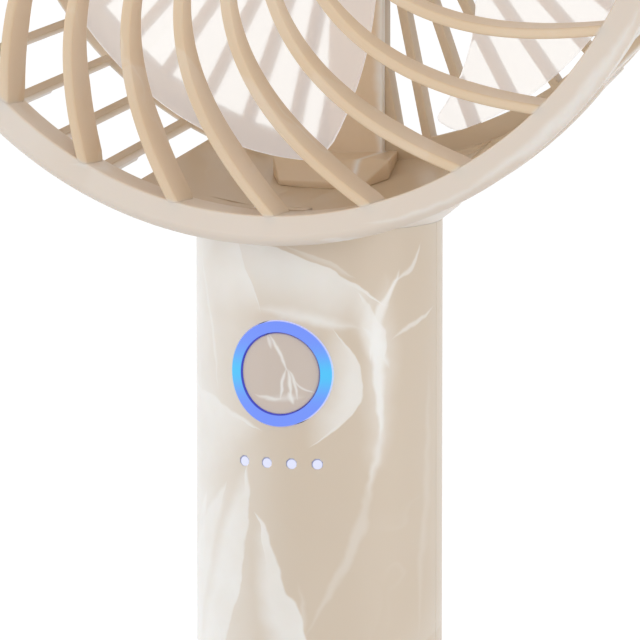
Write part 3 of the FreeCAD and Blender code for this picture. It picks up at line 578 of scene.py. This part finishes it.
# Beyond the disc the dark colour is a painted shade round the window's edge.
disc = smooth_step(-radius, -WINDOW_SHADED_RIM[0] * MM, -WINDOW_SHADED_RIM[1] * MM)
colour = blended(tree, disc, (0.20, 0.23, 0.42), (0.76, 0.79, 0.97))
feed(shader, {"Emission Color": colour, "Emission Strength": 0.9, "Roughness": 0.3,
              "Base Color": (0.06, 0.06, 0.09)})
print("windows at", tuple(round(v, 4) for v in window_middle))

# %% [markdown]
# ## Plain materials of the inner pieces
# Steel, boards, foam and the cell's sleeve sit inside. They still get a grain or a mottle,
# because a reader may open the model up. One function makes them all from a colour, a
# roughness and a grain that can be stretched, as drawn and ground steel have it.

# %% Inner materials


def grained(name, colour, roughness, metallic=0.0, scale=800.0, stretch=(1, 1, 1), depth=0.1):
    material, tree, shader, place = new_material(name)
    grain = noise(tree, vector_math(tree, "MULTIPLY", place, stretch), scale, detail=3.0)
    dark = tuple(part * (1 - depth) for part in colour)
    light = tuple(min(1, part * (1 + depth)) for part in colour)
    feed(shader, {"Base Color": blended(tree, grain, dark, light),
                  "Roughness": grain * 0.15 + (roughness - 0.07), "Metallic": metallic})
    return material


def paint(name, material):
    """Gives a CAD node its material; its mesh stays as it is."""
    nodes[name].data.materials.clear()
    nodes[name].data.materials.append(material)


inner = {
    "motor_can": grained("drawn_steel", (0.56, 0.56, 0.57), 0.35, 1.0, 500, (1, 0.1, 1)),
    "motor_shaft": grained("ground_steel", (0.68, 0.68, 0.69), 0.25, 1.0, 900, (1, 0.1, 1)),
    "charge_socket": grained("socket_steel", (0.66, 0.66, 0.67), 0.28, 1.0, 900),
    "charge_socket_tongue": grained("tongue_black", (0.02, 0.02, 0.022), 0.5),
    "button_switch": grained("switch_black", (0.03, 0.03, 0.032), 0.5),
    "switch_stem": grained("stem_black", (0.05, 0.05, 0.052), 0.45),
    "indicator_leds": grained("lamp_white", (0.8, 0.8, 0.7), 0.35),
    "ring_leds": grained("lamp_yellow", (0.82, 0.78, 0.6), 0.35),
    "circuit_board": grained("board_green", (0.02, 0.12, 0.05), 0.4, scale=1500),
    "charge_board": grained("port_board_green", (0.02, 0.12, 0.05), 0.4, scale=1500),
    "board_components": grained("chip_black", (0.025, 0.025, 0.028), 0.5),
    "battery_cell": grained("sleeve_blue", (0.05, 0.13, 0.35), 0.3, scale=120),
    "battery_tabs": grained("nickel", (0.6, 0.57, 0.52), 0.3, 1.0),
    "battery_pads": grained("foam", (0.03, 0.03, 0.032), 0.9, scale=2500, depth=0.4),
}
for name, material in inner.items():
    paint(name, material)
paint("indicator_lights", window_light)
print("inner materials", len(inner))

# %% [markdown]
# ## Softened shells
# A moulded edge is never sharp. A copy of the CAD mesh is merged, its small flat facets are
# joined back into whole faces, and its sharp edges get a weight, by which a Bevel modifier
# rounds them. A test can pick some edges only: those left out are marked sharp, so that they
# still shade as corners. Working on a copy keeps the measured solid as it is, and a modifier
# is surer than edges moved by hand.

# %% Pieces from meshes


def mesh_from(build, name):
    """A mesh of what a bmesh holds; the bmesh is freed."""
    mesh = bpy.data.meshes.new(name)
    build.to_mesh(mesh)
    build.free()
    return mesh


def plain_mesh(source, name):
    """The evaluated shape of an object as a mesh of its own; the object is removed."""
    graph = bpy.context.evaluated_depsgraph_get()
    mesh = bpy.data.meshes.new_from_object(source.evaluated_get(graph))
    mesh.name = name
    bpy.data.objects.remove(source)
    return mesh


def smooth_faces(build):
    for face in build.faces:
        face.smooth = True


def finished(name, mesh, material, body, stands_for):
    """A piece of one material that rides a body and replaces the CAD nodes it stands for."""
    piece = new_object(name, mesh)
    mesh.materials.clear()
    mesh.materials.append(material)
    for polygon in mesh.polygons:
        polygon.material_index = 0
    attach(piece, body)
    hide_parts(*stands_for)
    return piece


print("piece helpers ready")

# %% Softening
SHARP_TURN = math.radians(30.0)
MERGE_DISTANCE = 2e-6


def joined_nodes(names, cutter=None):
    """One mesh of CAD nodes that touch, without the faces where they meet, less a cutter."""
    draft = new_object("joined", nodes[names[0]].data.copy())
    steps = [("UNION", nodes[name]) for name in names[1:]]
    if cutter:
        steps.append(("DIFFERENCE", cutter))
    for operation, other in steps:
        step = draft.modifiers.new(operation, "BOOLEAN")
        step.operation = operation
        step.solver = "EXACT"
        step.object = other
    return plain_mesh(draft, names[0] + "_joined")


def softened(names, width, chosen=None, cutter=None, reshape=None, flat=0.3):
    """Mesh of CAD nodes with sharp edges rounded by a width in mm: those that the test
    `chosen` picks by their two ends, or all. Facets that turn by less than `flat` degrees
    are joined first, and `reshape` may change the bmesh before the rounding."""
    build = bmesh.new()
    build.from_mesh(joined_nodes(names, cutter))
    bmesh.ops.remove_doubles(build, verts=build.verts, dist=MERGE_DISTANCE)
    bmesh.ops.dissolve_limit(build, angle_limit=math.radians(flat), verts=build.verts,
                             edges=build.edges)
    if reshape:
        reshape(build)
    weight = build.edges.layers.float.new("bevel_weight_edge")
    for edge in build.edges:
        if len(edge.link_faces) == 2 and edge.calc_face_angle() > SHARP_TURN:
            ends = [vert.co / MM for vert in edge.verts]
            if chosen is None or chosen(*ends):
                edge[weight] = 1.0
            else:
                edge.smooth = False
    smooth_faces(build)
    draft = new_object(names[0] + "_draft", mesh_from(build, names[0] + "_soft"))
    bevel = draft.modifiers.new("edges", "BEVEL")
    bevel.width = width * MM
    bevel.segments = 2
    bevel.loop_slide = False
    bevel.limit_method = "WEIGHT"
    bevel.use_clamp_overlap = False
    bevel.harden_normals = True
    return plain_mesh(draft, names[0] + "_soft")


print("softening ready")

# %% [markdown]
# ## The cage
# The wall of slots and the ribs of the back are one moulding on the real fan, held as two
# CAD nodes, so a Boolean joins their copies. The slots run on to near the mouth and through
# the thin band round the wall: a second Boolean takes away a ring of wedges, one for each
# slot. Cutting is surer than drawing the ribs anew, as all else stays as it was measured.

# %% Slots of the cage
CAGE_SLOTS = 46
WALL_RIB_WIDTH, WALL_RIB_RADIUS = 1.04, 48.0
SLOT_GAP = math.degrees(WALL_RIB_WIDTH / 2 / WALL_RIB_RADIUS)
SOLID_HALF_ANGLE = 22.15
SLOT_RADII, SLOT_DEPTHS = (46.0, 56.0), (-13.3, 13.63)


def round_head(radius, depth, angle):
    """The place at a radius and a depth in mm, turned about the head's axis."""
    return Vector((radius * math.sin(angle), depth, -radius * math.cos(angle))) * MM + head


def bridge(build, low, high, sides=None):
    """Faces between two closed rows of vertices, on the sides given or on all."""
    for k in range(len(low)) if sides is None else sides:
        n = (k + 1) % len(low)
        build.faces.new((low[k], low[n], high[n], high[k]))


def slot_cutter():
    """Wedges that open the wall's slots to near its mouth, through the band round it."""
    build = bmesh.new()
    pitch = 360.0 / CAGE_SLOTS
    for index in range(CAGE_SLOTS):
        low = max((index - 0.5) * pitch + SLOT_GAP, SOLID_HALF_ANGLE)
        high = min((index + 0.5) * pitch - SLOT_GAP, 360.0 - SOLID_HALF_ANGLE)
        if high - low < pitch / 4:
            continue
        inner_radius, outer_radius = SLOT_RADII
        corners = ((inner_radius, low), (inner_radius, high), (outer_radius, high),
                   (outer_radius, low))
        ends = [[build.verts.new(round_head(radius, depth, math.radians(angle)))
                 for radius, angle in corners] for depth in SLOT_DEPTHS]
        build.faces.new(ends[0])
        build.faces.new(ends[1])
        bridge(build, *ends)
    bmesh.ops.recalc_face_normals(build, faces=build.faces)
    return new_object("slot_cutter", mesh_from(build, "slot_cutter"))


cutter = slot_cutter()
print("slot cutter faces", len(cutter.data.polygons))

# %% Cage
COLLAR_BOTTOM, COLLAR_TOP, COLLAR_DROP = 108.0, 110.0, 0.08
WALL_LEAST_RADIUS = 45.0
NEAR = 0.1
SEAM_TURN = math.radians(12)


def whole_ribs(build):
    """Removes the facet seams that run along the wall's ribs, which are too near the ribs'
    edges to be rounded, and closes most of the gap under the collar."""
    seams = []
    for edge in build.edges:
        ends = [vert.co / MM for vert in edge.verts]
        radii = [math.hypot(end.x, end.z - head.z / MM) for end in ends]
        depths = [end.y for end in ends]
        along = abs(depths[0] - depths[1]) > 0.5 * edge.calc_length() / MM
        within = SLOT_DEPTHS[0] - NEAR < min(depths) and max(depths) < SLOT_DEPTHS[1] + NEAR
        if (along and within and min(radii) > WALL_LEAST_RADIUS
                and edge.calc_face_angle() < SEAM_TURN):
            seams.append(edge)
    bmesh.ops.dissolve_edges(build, edges=seams, use_verts=True)
    for vert in build.verts:
        if abs(vert.co.z / MM - COLLAR_BOTTOM) < 0.02:
            vert.co.z -= COLLAR_DROP * MM


def away_from_seams(first, second):
    """Keeps the cage's mouth and the collar's lower edge sharp, as both close a seam."""
    at_mouth = max(first.y, second.y) < SEAM_Y + NEAR
    return not at_mouth and min(first.z, second.z) > COLLAR_TOP


cage_mesh = softened(("rear_guard", "rear_grille"), 0.15, away_from_seams, cutter, whole_ribs,
                     flat=1.0)
bpy.data.objects.remove(cutter)
cage = finished("rear_guard_skin", cage_mesh, cage_plastic, "housing",
                ("rear_guard", "rear_grille"))
print(cage.name, len(cage.data.polygons))

# %% [markdown]
# ## Handle, wire duct and base cap
# The handle is two half shells that meet in a seam at each side, over a cap that the fan
# stands on. Only the seams and the lowest edge are rounded, since the other edges close
# against a neighbour. A CAD mesh of a cylinder is made of flats, which gloss would show, so
# the normals on the round surface are turned straight out from its axis. More facets would
# hide the flats too, but the mesh would grow for nothing.

# %% Handle shells, duct and cap
EVEN_REACH = 0.15 * MM
EVEN_FACING = 0.97
SEAM_HALF_WIDTH, SEAM_LEAST_X, LOWEST_EDGE = 0.3, 14.0, 2.0


def evened(mesh, radius):
    """Turns the normals on a round handle straight out from its axis, so that the flats of
    the CAD mesh don't show."""
    normals = [Vector(normal.vector) for normal in mesh.corner_normals]
    for face in mesh.polygons:
        for corner in face.loop_indices:
            place = mesh.vertices[mesh.loops[corner].vertex_index].co
            outward = Vector((place.x, place.y, 0.0))
            if abs(outward.length - radius) < EVEN_REACH:
                outward.normalize()
                if face.normal.dot(outward) > EVEN_FACING:
                    normals[corner] = outward
    mesh.normals_split_custom_set([tuple(normal) for normal in normals])
    return mesh


def handle_seams(first, second):
    """Picks the two long side seams and the lowest edge of a handle shell."""
    at_side = all(abs(end.y) < SEAM_HALF_WIDTH and abs(end.x) > SEAM_LEAST_X
                  for end in (first, second))
    return at_side or max(first.z, second.z) < LOWEST_EDGE


SHELLS = [
    ("wire_duct", 0.2, duct_plastic, None),
    ("handle_front_shell", 0.12, handle_plastic, handle_seams),
    ("handle_rear_shell", 0.12, handle_plastic, handle_seams),
    ("base_cap", 0.4, handle_plastic, None),
]
for name, width, material, chosen in SHELLS:
    mesh = softened([name], width, chosen)
    if material == handle_plastic:
        evened(mesh, HANDLE_RADIUS)
    piece = finished(name + "_skin", mesh, material, "housing", [name])
    print(piece.name, len(piece.data.polygons))

# %% [markdown]
# ## Blades
# The moulded blades have rounded corners. The CAD outline leaves them out, because they would
# cost it many facets. Those corners are short edges along y, far from the axis, so a bevel
# inside the bmesh rounds just them, the sharper ones first. The modifier does the rest.

# %% Blades
TIP_ROUND, TIP_STEPS, TIP_LEAST_RADIUS = 1.0, 5, 40.0


def rounder_tips(build):
    """Rounds the corners of the blades' outline: their edges run along y, far out."""
    for least_turn in (80, 40):
        corners = []
        for edge in build.edges:
            step = edge.verts[0].co - edge.verts[1].co
            arm = edge.verts[0].co - head
            if (math.hypot(step.x, step.z) < NEAR * MM
                    and math.hypot(arm.x, arm.z) > TIP_LEAST_RADIUS * MM
                    and edge.calc_face_angle() > math.radians(least_turn)):
                corners.append(edge)
        bmesh.ops.bevel(build, geom=corners, offset=TIP_ROUND * MM, segments=TIP_STEPS,
                        profile=0.5, affect="EDGES", clamp_overlap=False)


blade_mesh = softened(["impeller"], 0.25, reshape=rounder_tips)
blades = finished("impeller_skin", blade_mesh, blade_plastic, "impeller",
                  ["impeller"])
print("blades", len(blades.data.polygons))

# %% [markdown]
# ## Front grille: one straight bar
# The grille's ribs follow a rule: each is a bar whose turn about the axis is a cubic in its
# distance from the ring. Each could be drawn as a curve, but 25 curves drift apart. So a
# straight bar is drawn once, with its rounded front and the heel where it meets the ring,
# and the rule bends it afterwards.

# %% Straight bar
RIM = 52.1
RING_IN = 49.1
FRONT_Y = -21.0
DISC_RADIUS = 15.5
BAR_INNER, BAR_OUTER = DISC_RADIUS - 1.0, RING_IN + 1.0
RIB_DEPTH, RIB_INNER_DEPTH = 5.5, 2.2
RIB_FRONT, RIB_BACK = 1.25, 1.7
FRONT_ROUND, BACK_ROUND = 0.42, 0.3
HEEL_START, HEEL_LENGTH, HEEL_RISE, HEEL_KEEP = 1.6, 2.2, 1.3, 0.12


def rib_outline(steps=4):
    """Section of a rib as (across, depth) in mm, from the front's middle round."""
    points = []
    for side, ahead in ((1, True), (1, False), (-1, False), (-1, True)):
        radius = FRONT_ROUND if ahead else BACK_ROUND
        half = (RIB_FRONT if ahead else RIB_BACK) / 2
        middle = (half - radius, radius if ahead else RIB_DEPTH - radius)
        sweep = range(steps + 1) if side > 0 else range(steps, -1, -1)
        for step in sweep:
            angle = math.pi / 2 * step / steps
            if not ahead:
                angle = math.pi / 2 - angle
            across = middle[0] + radius * math.sin(angle)
            depth = middle[1] + (-1 if ahead else 1) * radius * math.cos(angle)
            points.append((side * across, depth))
    return points


def straight_bar(stations=48):
    """A bar along x from 0 to 1, y its depth and z its width, both in metres."""
    build = bmesh.new()
    section = rib_outline()
    rings = []
    for index in range(stations + 1):
        share = index / stations
        radius = BAR_OUTER + (BAR_INNER - BAR_OUTER) * share
        heel = max(0.0, min(1.0, (radius - (RING_IN - HEEL_START)) / HEEL_LENGTH))
        limit = RIB_DEPTH - HEEL_RISE * (1 - math.sqrt(max(0.0, 1 - heel ** 2)))
        rings.append([
            build.verts.new((share, min(depth, limit + HEEL_KEEP * (depth - RIB_DEPTH)) * MM,
                             across * MM)) for across, depth in section])
    for low, high in zip(rings, rings[1:]):
        bridge(build, low, high)
    build.faces.new(rings[0][::-1])
    build.faces.new(rings[-1])
    bmesh.ops.recalc_face_normals(build, faces=build.faces)
    smooth_faces(build)
    return mesh_from(build, "rib_bar")


bar = straight_bar()
print("bar faces", len(bar.polygons))

# %% [markdown]
# ## Front grille: bending and copying
# A geometry tree moves every point of the bar: its place along x becomes a radius, the cubic
# turns it, and a sphere gives the dome. The same tree sets the copies round the axis. The
# numbers are its inputs, and the modifier's result is kept as a plain mesh.

# %% Tree that bends the bar
RIBS = 25
DOME_RISE = 6.0
RIB_DEEP_RADIUS, RIB_SHALLOW_RADIUS = 42.0, 24.0
SWEEP_START = math.radians(0.83)
SWEEP = (-0.780, -0.593, 1.220)


def make_spiral_tree():
    numbers = [("Ribs", "NodeSocketInt", RIBS), ("Ring Radius", FLOAT, RING_IN * MM),
               ("Inner End", FLOAT, BAR_INNER * MM), ("Outer End", FLOAT, BAR_OUTER * MM),
               ("Start Turn", FLOAT, SWEEP_START), ("Sweep", FLOAT, SWEEP[0]),
               ("Sweep Squared", FLOAT, SWEEP[1]), ("Sweep Cubed", FLOAT, SWEEP[2]),
               ("Front", FLOAT, FRONT_Y * MM), ("Rise", FLOAT, DOME_RISE * MM),
               ("Inner Share", FLOAT, RIB_INNER_DEPTH / RIB_DEPTH),
               ("Deep Radius", FLOAT, RIB_DEEP_RADIUS * MM),
               ("Shallow Radius", FLOAT, RIB_SHALLOW_RADIUS * MM),
               ("Height", FLOAT, head.z)]
    tree, source, target = new_group(
        "GeometryNodeTree", "spiral_ribs",
        [("Bar", "NodeSocketGeometry")] + numbers + [("Finish", "NodeSocketMaterial")],
        [("Ribs", "NodeSocketGeometry")])
    given = {name: Formula(tree, source.outputs[name]) for name, _, _ in numbers}
    position = add_node(tree, "GeometryNodeInputPosition")
    share, depth, across = separate(tree, position.outputs[0])
    radius = given["Outer End"] + (given["Inner End"] - given["Outer End"]) * share
    ring = given["Ring Radius"]
    q = (ring - radius) / ring
    turn = (given["Start Turn"] + given["Sweep"] * q + given["Sweep Squared"] * q * q
            + given["Sweep Cubed"] * q * q * q)
    rate = -(given["Sweep"] + given["Sweep Squared"] * q * 2.0
             + given["Sweep Cubed"] * q * q * 3.0) / ring
    sin, cos = turn.apply("SINE"), turn.apply("COSINE")
    along_x = sin + radius * rate * cos
    along_z = radius * rate * sin - cos
    length = (along_x * along_x + along_z * along_z).apply("SQRT")

    rise = given["Rise"]
    sphere = (ring * ring + rise * rise) / (rise * 2.0)
    front = given["Front"] - rise + sphere - (sphere * sphere - radius * radius).apply("SQRT")
    deep = ((radius - given["Shallow Radius"])
            / (given["Deep Radius"] - given["Shallow Radius"])).clamped()
    y = front + depth * (given["Inner Share"] + (-given["Inner Share"] + 1.0) * deep)
    x = radius * sin + along_z / length * across
    z = -(radius * cos) - along_x / length * across
    move = add_node(tree, "GeometryNodeSetPosition",
                    {"Geometry": source.outputs["Bar"], "Position": combine(tree, x, y, z)})

    line = add_node(tree, "GeometryNodeMeshLine",
                    {"Count": given["Ribs"], "Offset": (0, 0, 0),
                     "Start Location": combine(tree, 0.0, 0.0, given["Height"])})
    index = add_node(tree, "GeometryNodeInputIndex")
    angle = Formula(tree, index.outputs[0]) * (2 * math.pi) / given["Ribs"]
    copies = add_node(tree, "GeometryNodeInstanceOnPoints",
                      {"Points": line.outputs[0], "Instance": move.outputs[0],
                       "Rotation": combine(tree, 0.0, angle, 0.0)})
    real = add_node(tree, "GeometryNodeRealizeInstances", [copies.outputs[0]])
    finish = add_node(tree, "GeometryNodeSetMaterial",
                      {"Geometry": real.outputs[0], "Material": source.outputs["Finish"]})
    feed(target, [finish.outputs[0]])
    return tree


spiral_tree = make_spiral_tree()
print("spiral tree nodes", len(spiral_tree.nodes))

# %% Spiral ribs


def set_inputs(modifier, values):
    """Gives a modifier its named values by the sockets' identifiers."""
    for item in modifier.node_group.interface.items_tree:
        if item.item_type == "SOCKET" and item.in_out == "INPUT" and item.name in values:
            modifier[item.identifier] = values[item.name]


draft = new_object("rib_draft", bar)
modifier = draft.modifiers.new("spiral", "NODES")
modifier.node_group = spiral_tree
set_inputs(modifier, {"Ribs": RIBS, "Finish": grille_plastic})
ribs_mesh = plain_mesh(draft, "spiral_ribs")
print("spiral ribs", len(ribs_mesh.polygons))

# %% [markdown]
# ## Front grille: ring and disc
# The ring is a round moulding with a soft crown, and the disc closes the middle of the dome.
# A Bevel gives all corners one radius, but these differ, so each piece is an outline with a
# radius at each corner, turned about the head's axis. Six tabs hold the ring in the cage.

# %% Turned shapes


def rounded(points, radii, steps=5):
    """Corners of a closed outline, each replaced by an arc of its radius."""
    result = []
    count = len(points)
    for k, (point, radius) in enumerate(zip(points, radii)):
        here = Vector(point)
        before, after = Vector(points[k - 1]), Vector(points[(k + 1) % count])
        if radius <= 0:
            result.append(here)
            continue
        first, second = (before - here).normalized(), (after - here).normalized()
        half = first.angle(second) / 2
        reach = radius / math.tan(half)
        centre = here + (first + second).normalized() * (radius / math.sin(half))
        start, end = here + first * reach, here + second * reach
        sweep = (start - centre).angle(end - centre)
        side = (start - centre).normalized()
        other = ((end - centre) - side * (end - centre).dot(side)).normalized()
        for step in range(steps + 1):
            angle = sweep * step / steps
            result.append(centre + (side * math.cos(angle) + other * math.sin(angle)) * radius)
    return result


def lathed(build, outline, segments):
    """Turns a closed (radius, depth) outline in mm about the head's axis."""
    count = len(outline)
    on_axis = [point[0] < 1e-6 for point in outline]
    sides = [k for k in range(count) if not (on_axis[k] and on_axis[k + 1 - count])]
    rings = [[build.verts.new(round_head(*point, 2 * math.pi * index / segments))
              for point in outline] for index in range(segments)]
    for low, high in zip(rings, rings[1:] + rings[:1]):
        bridge(build, low, high, sides)
    if len(sides) < count:
        bmesh.ops.remove_doubles(build, verts=build.verts, dist=1e-7)


print("lathe ready")

# %% Ring, disc and tabs
RING_CROWN, RING_BACK = 52.9, -15.2
RING_CORNERS = [(RING_IN, FRONT_Y), (52.0, FRONT_Y), (RING_CROWN, -20.1), (RIM, RING_BACK),
                (RING_IN, RING_BACK)]
RING_ROUNDS = [0.3, 1.2, 1.0, 0.05, 0.25]
DISC_FRONT, DISC_EDGE, DISC_BACK = -27.0, -26.4, -23.6
DISC_CORNERS = [(0, DISC_FRONT), (13.9, DISC_FRONT), (DISC_RADIUS, DISC_EDGE),
                (DISC_RADIUS, DISC_BACK), (0, DISC_BACK)]
DISC_ROUNDS = [0, 1.2, 0.5, 0.3, 0]
TABS = 6
TAB_RADIUS, TAB_DEPTH = 49.4, -14.15
TAB_THICKNESS, TAB_LENGTH, TAB_WIDTH = 1.0, 2.9, 7.0


def grille_body():
    """The ring with its rounded crown, the six tabs behind it, and the centre disc."""
    build = bmesh.new()
    lathed(build, rounded(RING_CORNERS, RING_ROUNDS), 256)
    lathed(build, rounded(DISC_CORNERS, DISC_ROUNDS), 128)
    for index in range(TABS):
        turn = Matrix.Rotation(math.pi * (2 * index + 1) / TABS, 4, "Y")
        for vert in bmesh.ops.create_cube(build, size=1.0)["verts"]:
            place = Vector((vert.co.x * TAB_THICKNESS - TAB_RADIUS,
                            vert.co.y * TAB_LENGTH + TAB_DEPTH, vert.co.z * TAB_WIDTH))
            vert.co = turn @ place * MM + head
    bmesh.ops.recalc_face_normals(build, faces=build.faces)
    smooth_faces(build)
    return mesh_from(build, "grille_body")


def joined_mesh(name, meshes):
    build = bmesh.new()
    for mesh in meshes:
        build.from_mesh(mesh)
    return mesh_from(build, name)


draft = new_object("grille_draft", joined_mesh("grille", [ribs_mesh, grille_body()]))
draft.modifiers.new("flat faces stay flat", "WEIGHTED_NORMAL")
front = finished("front_grille", plain_mesh(draft, "front_grille"), grille_plastic, "housing",
                 ["front_guard"])
print("front grille faces", len(front.data.polygons))

# %% [markdown]
# ## Button and light ring
# The cap of the button follows the handle's round front, and the light ring stands a little
# proud of it. Both are CAD nodes softened and evened like the handle, so that the gloss runs
# on from one to the next.

# %% Button and ring
LIGHT_RING_RADIUS = 15.3 * MM
cap_mesh = evened(softened(["power_button"], 0.15), HANDLE_RADIUS)
button = finished("button_cap", cap_mesh, button_plastic, "button",
                  ["power_button"])
ring_mesh = evened(softened(["light_ring"], 0.12), LIGHT_RING_RADIUS)
ring = finished("glow_ring", ring_mesh, ring_light, "housing", ["light_ring"])
print("button faces", len(button.data.polygons), "ring faces", len(ring.data.polygons))

# %% [markdown]
# ## Studio
# The fan stands on a white floor in a white room. A bright, even world fills the shade, and
# broad lamps at both sides and in front give the round handle its soft gloss. Lamps above
# would throw the head's shadow on the button. The camera and the clear plastic see the floor
# and the world as white, so that the fan stands free.

# %% Floor and world
FLOOR_HALF = 3.0


def is_ray(tree, *kinds):
    """1 for a ray from the camera or of one of these kinds, else 0."""
    path = add_node(tree, "ShaderNodeLightPath")
    seen = Formula(tree, path.outputs["Is Camera Ray"])
    for kind in kinds:
        seen = seen.apply("MAXIMUM", Formula(tree, path.outputs[kind]))
    return seen


# Pale to the object. To the camera, to mirrors and through plastic it is white, and darker
# where the object's shadow lies on it.
floor_white, tree, shader, _ = new_material("floor_white")
seen = is_ray(tree, "Is Glossy Ray", "Is Transmission Ray")
feed(shader, {"Base Color": blended(tree, seen, (0.8, 0.8, 0.8), (0.25, 0.25, 0.25)),
              "Roughness": 0.9, "Specular IOR Level": 0.0, "Emission Color": (1, 1, 1),
              "Emission Strength": seen * 0.85})
mesh = bpy.data.meshes.new("floor")
size = FLOOR_HALF
mesh.from_pydata([(-size, -size, 0), (size, -size, 0), (size, size, 0), (-size, size, 0)],
                 [], [(0, 1, 2, 3)])
mesh.materials.append(floor_white)
floor = new_object("floor", mesh)

world = bpy.data.worlds.new("studio")
bpy.context.scene.world = world
world.use_nodes = True
strength = is_ray(world.node_tree, "Is Transmission Ray") * 0.25 + 0.75
feed(world.node_tree.nodes["Background"], {"Color": (1, 1, 1), "Strength": strength})
print("floor half width", FLOOR_HALF)

# %% Lamps
LAMP_AIM = (0, 0, 0.12)
LAMPS = [
    ("key", (-0.85, -0.50, 0.30), (0.9, 0.8), 2.8),
    ("fill", (0.95, -0.20, 0.22), (0.7, 0.7), 2.8),
    ("front", (0.30, -1.10, 0.20), (0.8, 0.8), 1.1),
]
for name, place, size, power in LAMPS:
    data = bpy.data.lights.new(name, "AREA")
    data.shape = "RECTANGLE"
    data.size, data.size_y = size
    data.energy = power
    point_at(new_object(name, data), place, LAMP_AIM)
bpy.context.scene.view_settings.view_transform = "Standard"
print("lamps", len(LAMPS))

# %% [markdown]
# ## Sizes and finish
# The dressed fan has to fill the same box as the measured one; this cell brings the scene
# up to date.

# %% Sizes and finish
bpy.context.view_layer.update()
